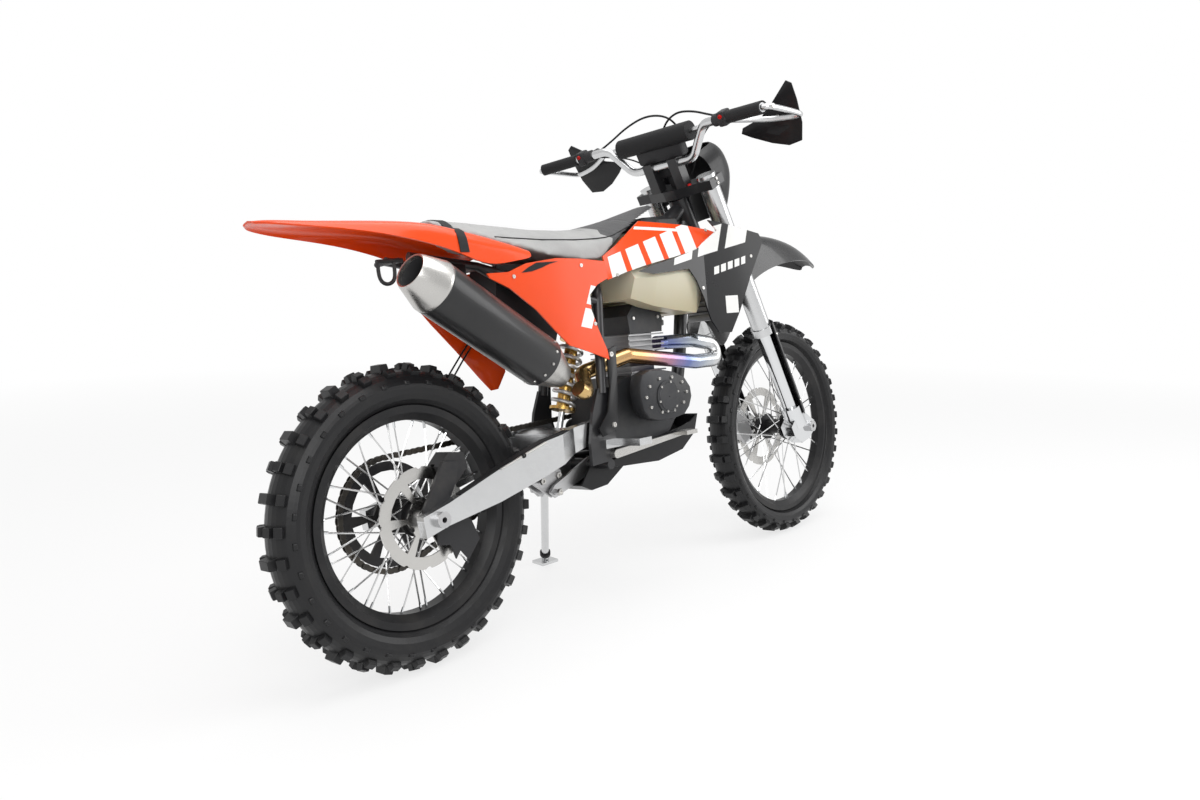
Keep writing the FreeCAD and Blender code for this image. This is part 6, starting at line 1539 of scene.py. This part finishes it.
@dataclass(frozen=True)
class FrameDetails:
    """The frame guards, the radiators, the muffler hanger and the tail loop."""

    guard: Outline = (
        (545, 653), (580, 663), (575, 560), (566, 489), (560, 452), (506, 440), (494, 462), (530, 500), (545, 560),
    )
    guard_bolts: Outline = ((558, 642), (548, 466))
    guard_out: float = 123.3
    thick: float = 5.0
    hanger_side: float = -70.0
    hanger_bolt: Point = (150, -70.6, 852)
    hanger: Outline = ((134, 762), (166, 762), (176, 800), (171, 872), (129, 876), (124, 800))
    core: tuple[float, float] = (973.0, 993.0)
    tank: tuple[float, float] = (968.0, 998.0)
    core_sides: tuple[float, float] = (56.0, 146.0)
    tank_heights: tuple[float, float] = (708.0, 862.0)
    tank_tall: float = 18.0
    slat_starts: tuple[float, float] = (966.0, 995.0)
    slat_low: float = 732.0
    slat_pitch: float = 15.5
    slat_count: int = 9
    tail: tuple[tuple[float, tuple[Point, ...]], ...] = (
        (0.0042, ((2, -43, 884), (4, -43, 862), (0, -43, 840), (-18, -43, 832), (-34, -43, 840), (-38, -43, 862),
                  (-36, -43, 880))),
        (0.005, ((-40, -43, 880), (-8, -43, 883), (24, -43, 884))),
        (0.006, ((16, -43, 884), (16, 0, 886), (16, 43, 884))),
    )

    def build_guards(self, shop: Workshop) -> None:
        """The moulded guards outside the pivot plates, and the hanger plate."""
        half = self.thick / 2
        parts = [shop.plate("XZ", side * self.guard_out - half, self.thick, self.guard, 1.6) for side in (-1, 1)]
        parts.append(shop.plate("XZ", self.hanger_side, self.thick, self.hanger, 1.0))
        shop.add("frame_guard_plates", merged(parts), shop.finishes.black)
        spots = [(Vector(self.hanger_bolt), Vector((0, -1, 0)))]
        spots += [(Vector((x, side * (self.guard_out + half - 0.2), z)), Vector((0, side, 0)))
                  for side in (-1, 1) for x, z in self.guard_bolts]
        shop.screws("frame_guard_bolts", spots, shop.finishes.steel, 0.0075, 0.004)

    def build_radiators(self, shop: Workshop) -> None:
        """A core between two tanks on each side, with slats ahead of and behind it."""
        cores, slats = [], []
        for side in (-1, 1):
            near, far = sorted(side * place for place in self.core_sides)
            (rear, front), (low, high) = self.tank, self.tank_heights
            cores += [shop.block((rear, near, z), (front, far, z + self.tank_tall), 4.0) for z in (low, high)]
            rear, front = self.core
            cores.append(shop.block((rear, near + 3, low + self.tank_tall - 2), (front, far - 3, high + 2), 0.5))
            for number in range(self.slat_count):
                z = self.slat_low + self.slat_pitch * number
                slats += [shop.block((x, near + 1, z), (x + 5, far - 1, z + 3), 0.6) for x in self.slat_starts]
        shop.add("radiator_cores", merged(cores), shop.finishes.radiator)
        shop.add("radiator_slats", merged(slats), shop.finishes.satin)

    def build(self, shop: Workshop) -> None:
        """Makes all of them."""
        self.build_guards(shop)
        self.build_radiators(shop)
        parts = [tube(route, radius) for radius, route in self.tail]
        shop.add("tail_loop", merged(parts), shop.finishes.steel_black)


@dataclass(frozen=True)
class Trim:
    """The side panels' vents as black plates of painted shade, the swingarm's sliders, the left cover with its hoses,
    and the switch blocks with a black block of painted shade under the bar pad.
    """

    vent: Outline = (
        (284, 846), (305, 858), (331, 869), (362, 877), (396, 881), (399, 872), (370, 866), (345, 857), (315, 849),
    )
    cover: Outline = (
        (143, 822), (160, 838), (254, 872), (330, 830), (420, 700), (424, 620), (395, 578), (371, 576), (336, 612),
        (273, 682), (206, 751),
    )
    slider: range = range(60, 441, 20)
    slider_out: float = 112.0
    slider_taper: float = 0.018
    hoses: tuple[tuple[Point, ...], ...] = (
        ((333, 116, 729), (311, 116, 706), (276, 116, 671), (230, 116, 620)),
        ((339, 112, 721), (320, 112, 700), (284, 112, 665), (241, 112, 614)),
    )
    blocks: tuple[tuple[Point, Point, float], ...] = (
        ((-44, -276, 1016), (-8, -250, 1056), 5.0), ((-44, 250, 1016), (-8, 276, 1056), 5.0),
        # Below, the second block fills the gap between the bar pad and the clamp as painted shade.
        ((-2, -42, 908), (34, 42, 968), 8.0), ((-12, -82, 960), (26, 82, 1014), 9.0),
        ((6, -12, 872), (26, 12, 912), 3.0),
    )
    button: Point = (-43.6, 263.0, 1044.0)
    clamp_button: Point = (-12.0, -66.0, 1000.0)

    def inlay(self, shop: Workshop, node: str, side: int) -> bpy.types.Mesh:
        """A vent slot as a thin plate that lies on a flank of a node, which is made black as painted shade for the
        opening.
        """
        shape = bmesh.new()
        lift = Vector((0, side * 0.8, 0))
        face = shape.faces.new([shape.verts.new((place + lift) * MM)
                                for place, _ in shop.flank(node, self.vent, side, 0.0)])
        face.normal_update()
        if face.normal.y * side < 0:
            face.normal_flip()
        bmesh.ops.triangulate(shape, faces=[face])
        return mesh_of(shape)

    def build_flanks(self, shop: Workshop) -> None:
        """The vents as black plates of painted shade, the sliders along the top of the swingarm, the left side cover
        and its hoses.
        """
        look = shop.finishes
        parts = [self.inlay(shop, f"side_panel_{word}", side) for side, word in SIDES]
        # Black plates over the vent slots: painted shade for their openings.
        shop.add("side_vents_painted_shade", merged(parts), look.rubber)
        for side, word in SIDES:
            starts = [(x, side * (self.slider_out - self.slider_taper * x), 700) for x in self.slider]
            spots = [spot for start in starts for spot in shop.probe("swingarm", start, (0, 0, -1))]
            rails = [(place * MM, way) for place, way in spots if way.z > 0.5]
            shop.add(f"arm_slider_{word}", strip(rails, Vector((0, 1, 0)), 0.0100, 0.0022), look.rubber)
        for number, route in enumerate(self.hoses):
            shop.add(f"breather_hose_{number + 1}", tube(route, 0.0022), look.rubber)
        shop.add("left_side_cover", shop.plate("XZ", 124.0, 4.0, self.cover, 1.5), look.orange)

    def build_switches(self, shop: Workshop) -> None:
        """The switch blocks beside the grips, the small display, a black block of painted shade in the gap under the
        bar pad, and the red buttons.
        """
        parts = [shop.block(*corners) for corners in self.blocks]
        # One of these blocks is painted shade in the gap under the bar pad.
        shop.add("switch_blocks_and_shade_block", merged(parts), shop.finishes.satin, Body.STEERING)
        x, y, z = self.button
        spots = [(Vector((x, side * y, z)), Vector((-1, 0, 0))) for side in (-1, 1)]
        steer = MACHINE.inverted() @ STEERING
        start, way = steer @ (Vector(self.clamp_button) * MM) / MM, steer.to_3x3() @ Vector((0, 0, -1))
        back = steer.inverted()
        spots += [(back @ (place * MM) / MM, back.to_3x3() @ normal)
                  for place, normal in shop.probe("triple_clamps", start, way)]
        shop.screws("red_buttons", spots, shop.finishes.red, 0.006, 0.004, 0.7, body=Body.STEERING)

    def build(self, shop: Workshop) -> None:
        """Makes all of it."""
        self.build_flanks(shop)
        self.build_switches(shop)


@dataclass(frozen=True)
class Fixings:
    """The clutch casting, the stand's ring, and the screws and bolts that hold plastics, covers and clamps."""

    casting: Outline = (
        (626, 532), (628, 560), (640, 583), (671, 592), (715, 590), (768, 580), (810, 562), (832, 535), (835, 508),
        (822, 482), (799, 463), (750, 456), (695, 458), (655, 468), (634, 492),
    )
    casting_depth: float = 40.0
    lid: Outline = ((-6.5, 2), (-6.5, 36), (-4, 38), (-4, 42), (-2.5, 44), (2, 44), (2, 2))
    lid_middle: tuple[float, float] = (732.0, 517.0)
    lid_screws: float = 39.0
    clutch_ring: tuple[float, ...] = (727.0, 523.0, 82.0, 46.0)
    flywheel_ring: tuple[float, ...] = (727.0, 524.0, 88.0, 52.0)
    head_screws: Outline = ((712, 730), (812, 730))
    link_bolts: Outline = ((358, 352), (412, 316), (440, 352))
    pivot: Point = (533.0, 135.0, 322.0)
    foot: tuple[float, float] = (679.0, 326.0)
    ring_from: float = 0.88
    panels: tuple[tuple[str, Outline], ...] = (
        ("shroud", ((690, 838), (905, 797), (1090, 880))), ("tank_panel", ((592, 838), (960, 958))),
        ("side_panel", ((262, 838), (500, 720), (470, 862))),
    )
    clamps: tuple[tuple[str, float, tuple[float, ...]], ...] = (
        ("fork_guards", 40.0, (110.0, 350.0)), ("triple_clamps", 22.0, (663.0, 677.0, 855.0, 869.0)),
    )

    def ring(self, x: float, z: float, wide: float, tall: float, count: int, lead: float = 0.0) -> Outline:
        """Places round an ellipse that stands across the machine."""
        turns = [math.tau * (number + lead) / count for number in range(count)]
        return tuple((x + wide * math.cos(turn), z + tall * math.sin(turn)) for turn in turns)

    def build_casting(self, shop: Workshop) -> Vector:
        """Makes the clutch casting and gives the middle of the face that its lid stands on."""
        (face, _), = shop.flank("clutch_cover", (self.lid_middle,), -1, 0.0)
        cast = shop.plate("XZ", face.y, self.casting_depth, self.casting, 6.0)
        shop.add("clutch_casting", cast, shop.finishes.engine, replaces=("clutch_cover",))
        return face

    def build_lid(self, shop: Workshop, face: Vector) -> None:
        """Makes the clutch's lid and its screws."""
        place = MACHINE @ Matrix.Translation(face * MM)
        shop.add("clutch_lid", revolve(self.lid, 48), shop.finishes.engine, place=place)
        around = self.ring(0, 0, self.lid_screws, self.lid_screws, 6, 0.25)
        heads = [(Vector((x, -4.2, z)), Vector((0, -1, 0))) for x, z in around]
        shop.screws("clutch_lid_screws", heads, shop.finishes.steel, 0.0036, 0.0025, place=place)

    def build_ring(self, shop: Workshop) -> None:
        """Makes the rubber ring near the foot of the stand, which stands on the floor."""
        pivot, foot = Vector(self.pivot), Vector((*self.foot, 0))
        foot.z = -(MACHINE @ (foot * MM)).z / MACHINE[2][2] / MM
        ring = revolve(((-6, 10), (-6, 15.5), (6, 15.5), (6, 10)), 24)
        place = axis_frame(pivot.lerp(foot, self.ring_from), foot)
        shop.add("stand_ring", ring, shop.finishes.rubber, Body.STAND, place)

    def build_front(self, shop: Workshop) -> None:
        """The screws of the fork guards and the clamps, which turn with the steering."""
        steer = MACHINE.inverted() @ STEERING
        spots = []
        for side in (-1, 1):
            for node, ahead, heights in self.clamps:
                for up in heights:
                    start = steer @ (Vector((ahead, side * 300, up)) * MM) / MM
                    spots += shop.probe(node, start, steer.to_3x3() @ Vector((0, -side, 0)), 0.3)
        shop.screws("front_screws", spots, shop.finishes.steel, 0.0045, 0.003, body=Body.STEERING, place=MACHINE)

    def build(self, shop: Workshop) -> None:
        """Makes the castings, the ring and every set of screws."""
        steel = shop.finishes.steel
        spots = [spot for side, word in SIDES for node, places in self.panels
                 for spot in shop.flank(f"{node}_{word}", places, side)]
        shop.screws("plastics_screws", spots, steel, 0.0052, 0.0024, 0.48)
        face = self.build_casting(shop)
        self.build_ring(shop)
        shop.screws("linkage_bolts", shop.flank("linkage", self.link_bolts, -1), steel, 0.010, 0.005, 0.5, 6)
        self.build_lid(shop, face)
        spots = [(Vector((x, face.y, z)), Vector((0, -1, 0))) for x, z in self.ring(*self.clutch_ring, 10)]
        spots += shop.flank("flywheel_cover", self.ring(*self.flywheel_ring, 10), 1)
        for side in (-1, 1):
            spots += shop.flank("cylinder_head", self.head_screws, side)
        shop.screws("engine_screws", spots, steel, 0.0048, 0.004)
        Silencer().build_rivets(shop)
        self.build_front(shop)


@dataclass(frozen=True)
class Lines:
    """Cables, hoses and wires that the machine holds all the way."""

    cables: tuple[tuple[str, float, tuple[Point, ...]], ...] = (
        ("clutch_hose", 0.0030, ((8, 236, 1032), (26, 190, 1046), (44, 120, 1074), (54, 40, 1088), (58, -30, 1066),
                                 (60, -52, 1010), (56, -40, 940), (50, -28, 900))),
        ("front_brake_hose", 0.0030, ((8, -236, 1032), (28, -188, 1042), (48, -120, 1064), (58, -52, 1072),
                                      (62, 10, 1040), (60, 34, 980), (56, 30, 900))),
        ("throttle_cable", 0.0028, ((2, -258, 1036), (30, -216, 1030), (52, -150, 1012), (58, -96, 968),
                                    (54, -62, 918), (46, -44, 890))),
        ("switch_wire", 0.0022, ((0, 250, 1026), (20, 200, 1006), (40, 140, 980), (50, 90, 930), (44, 60, 892))),
    )
    arm: Outline = ((60, 378), (110, 394), (171, 414), (240, 434), (313, 454), (380, 470), (430, 480))

    def build(self, shop: Workshop) -> None:
        """Makes the lines on the bars and the brake line on the swingarm with its clips."""
        look = shop.finishes
        for name, radius, points in self.cables:
            shop.add(name, tube(points, radius), look.rubber, Body.STEERING)
        line = [place - Vector((0, 3.2, 0)) for place, _ in shop.flank("swingarm", self.arm, -1, 0.0)]
        shop.add("rear_brake_line", tube(line, 0.0028), look.steel)
        clips = [(place - Vector((0, 1, 0)), Vector((0, -1, 0))) for place in line[1::2]]
        shop.screws("brake_line_clips", clips, look.rubber, 0.0065, 0.0035, 0.4)


def main() -> None:
    """Builds the scene in order."""
    logging.basicConfig(level=logging.INFO, format="%(name)s: %(message)s")
    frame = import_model()
    finishes = Finishes()
    Stage().build()
    finishes.dress(frame["nodes"])
    shop = Workshop(frame["nodes"], finishes)
    for assembly in (*WHEELS, DriveChain()):
        assembly.build(shop)
    REAR_FENDER.build(shop, finishes.orange)
    FRONT_FENDER.build(shop, finishes.fender_front)
    for kind in (Saddle, Mask, HandGuards, Silencer, ShockUnit, FrameDetails, Trim, Fixings, Lines):
        kind().build(shop)


if __name__ == "__main__":
    main()
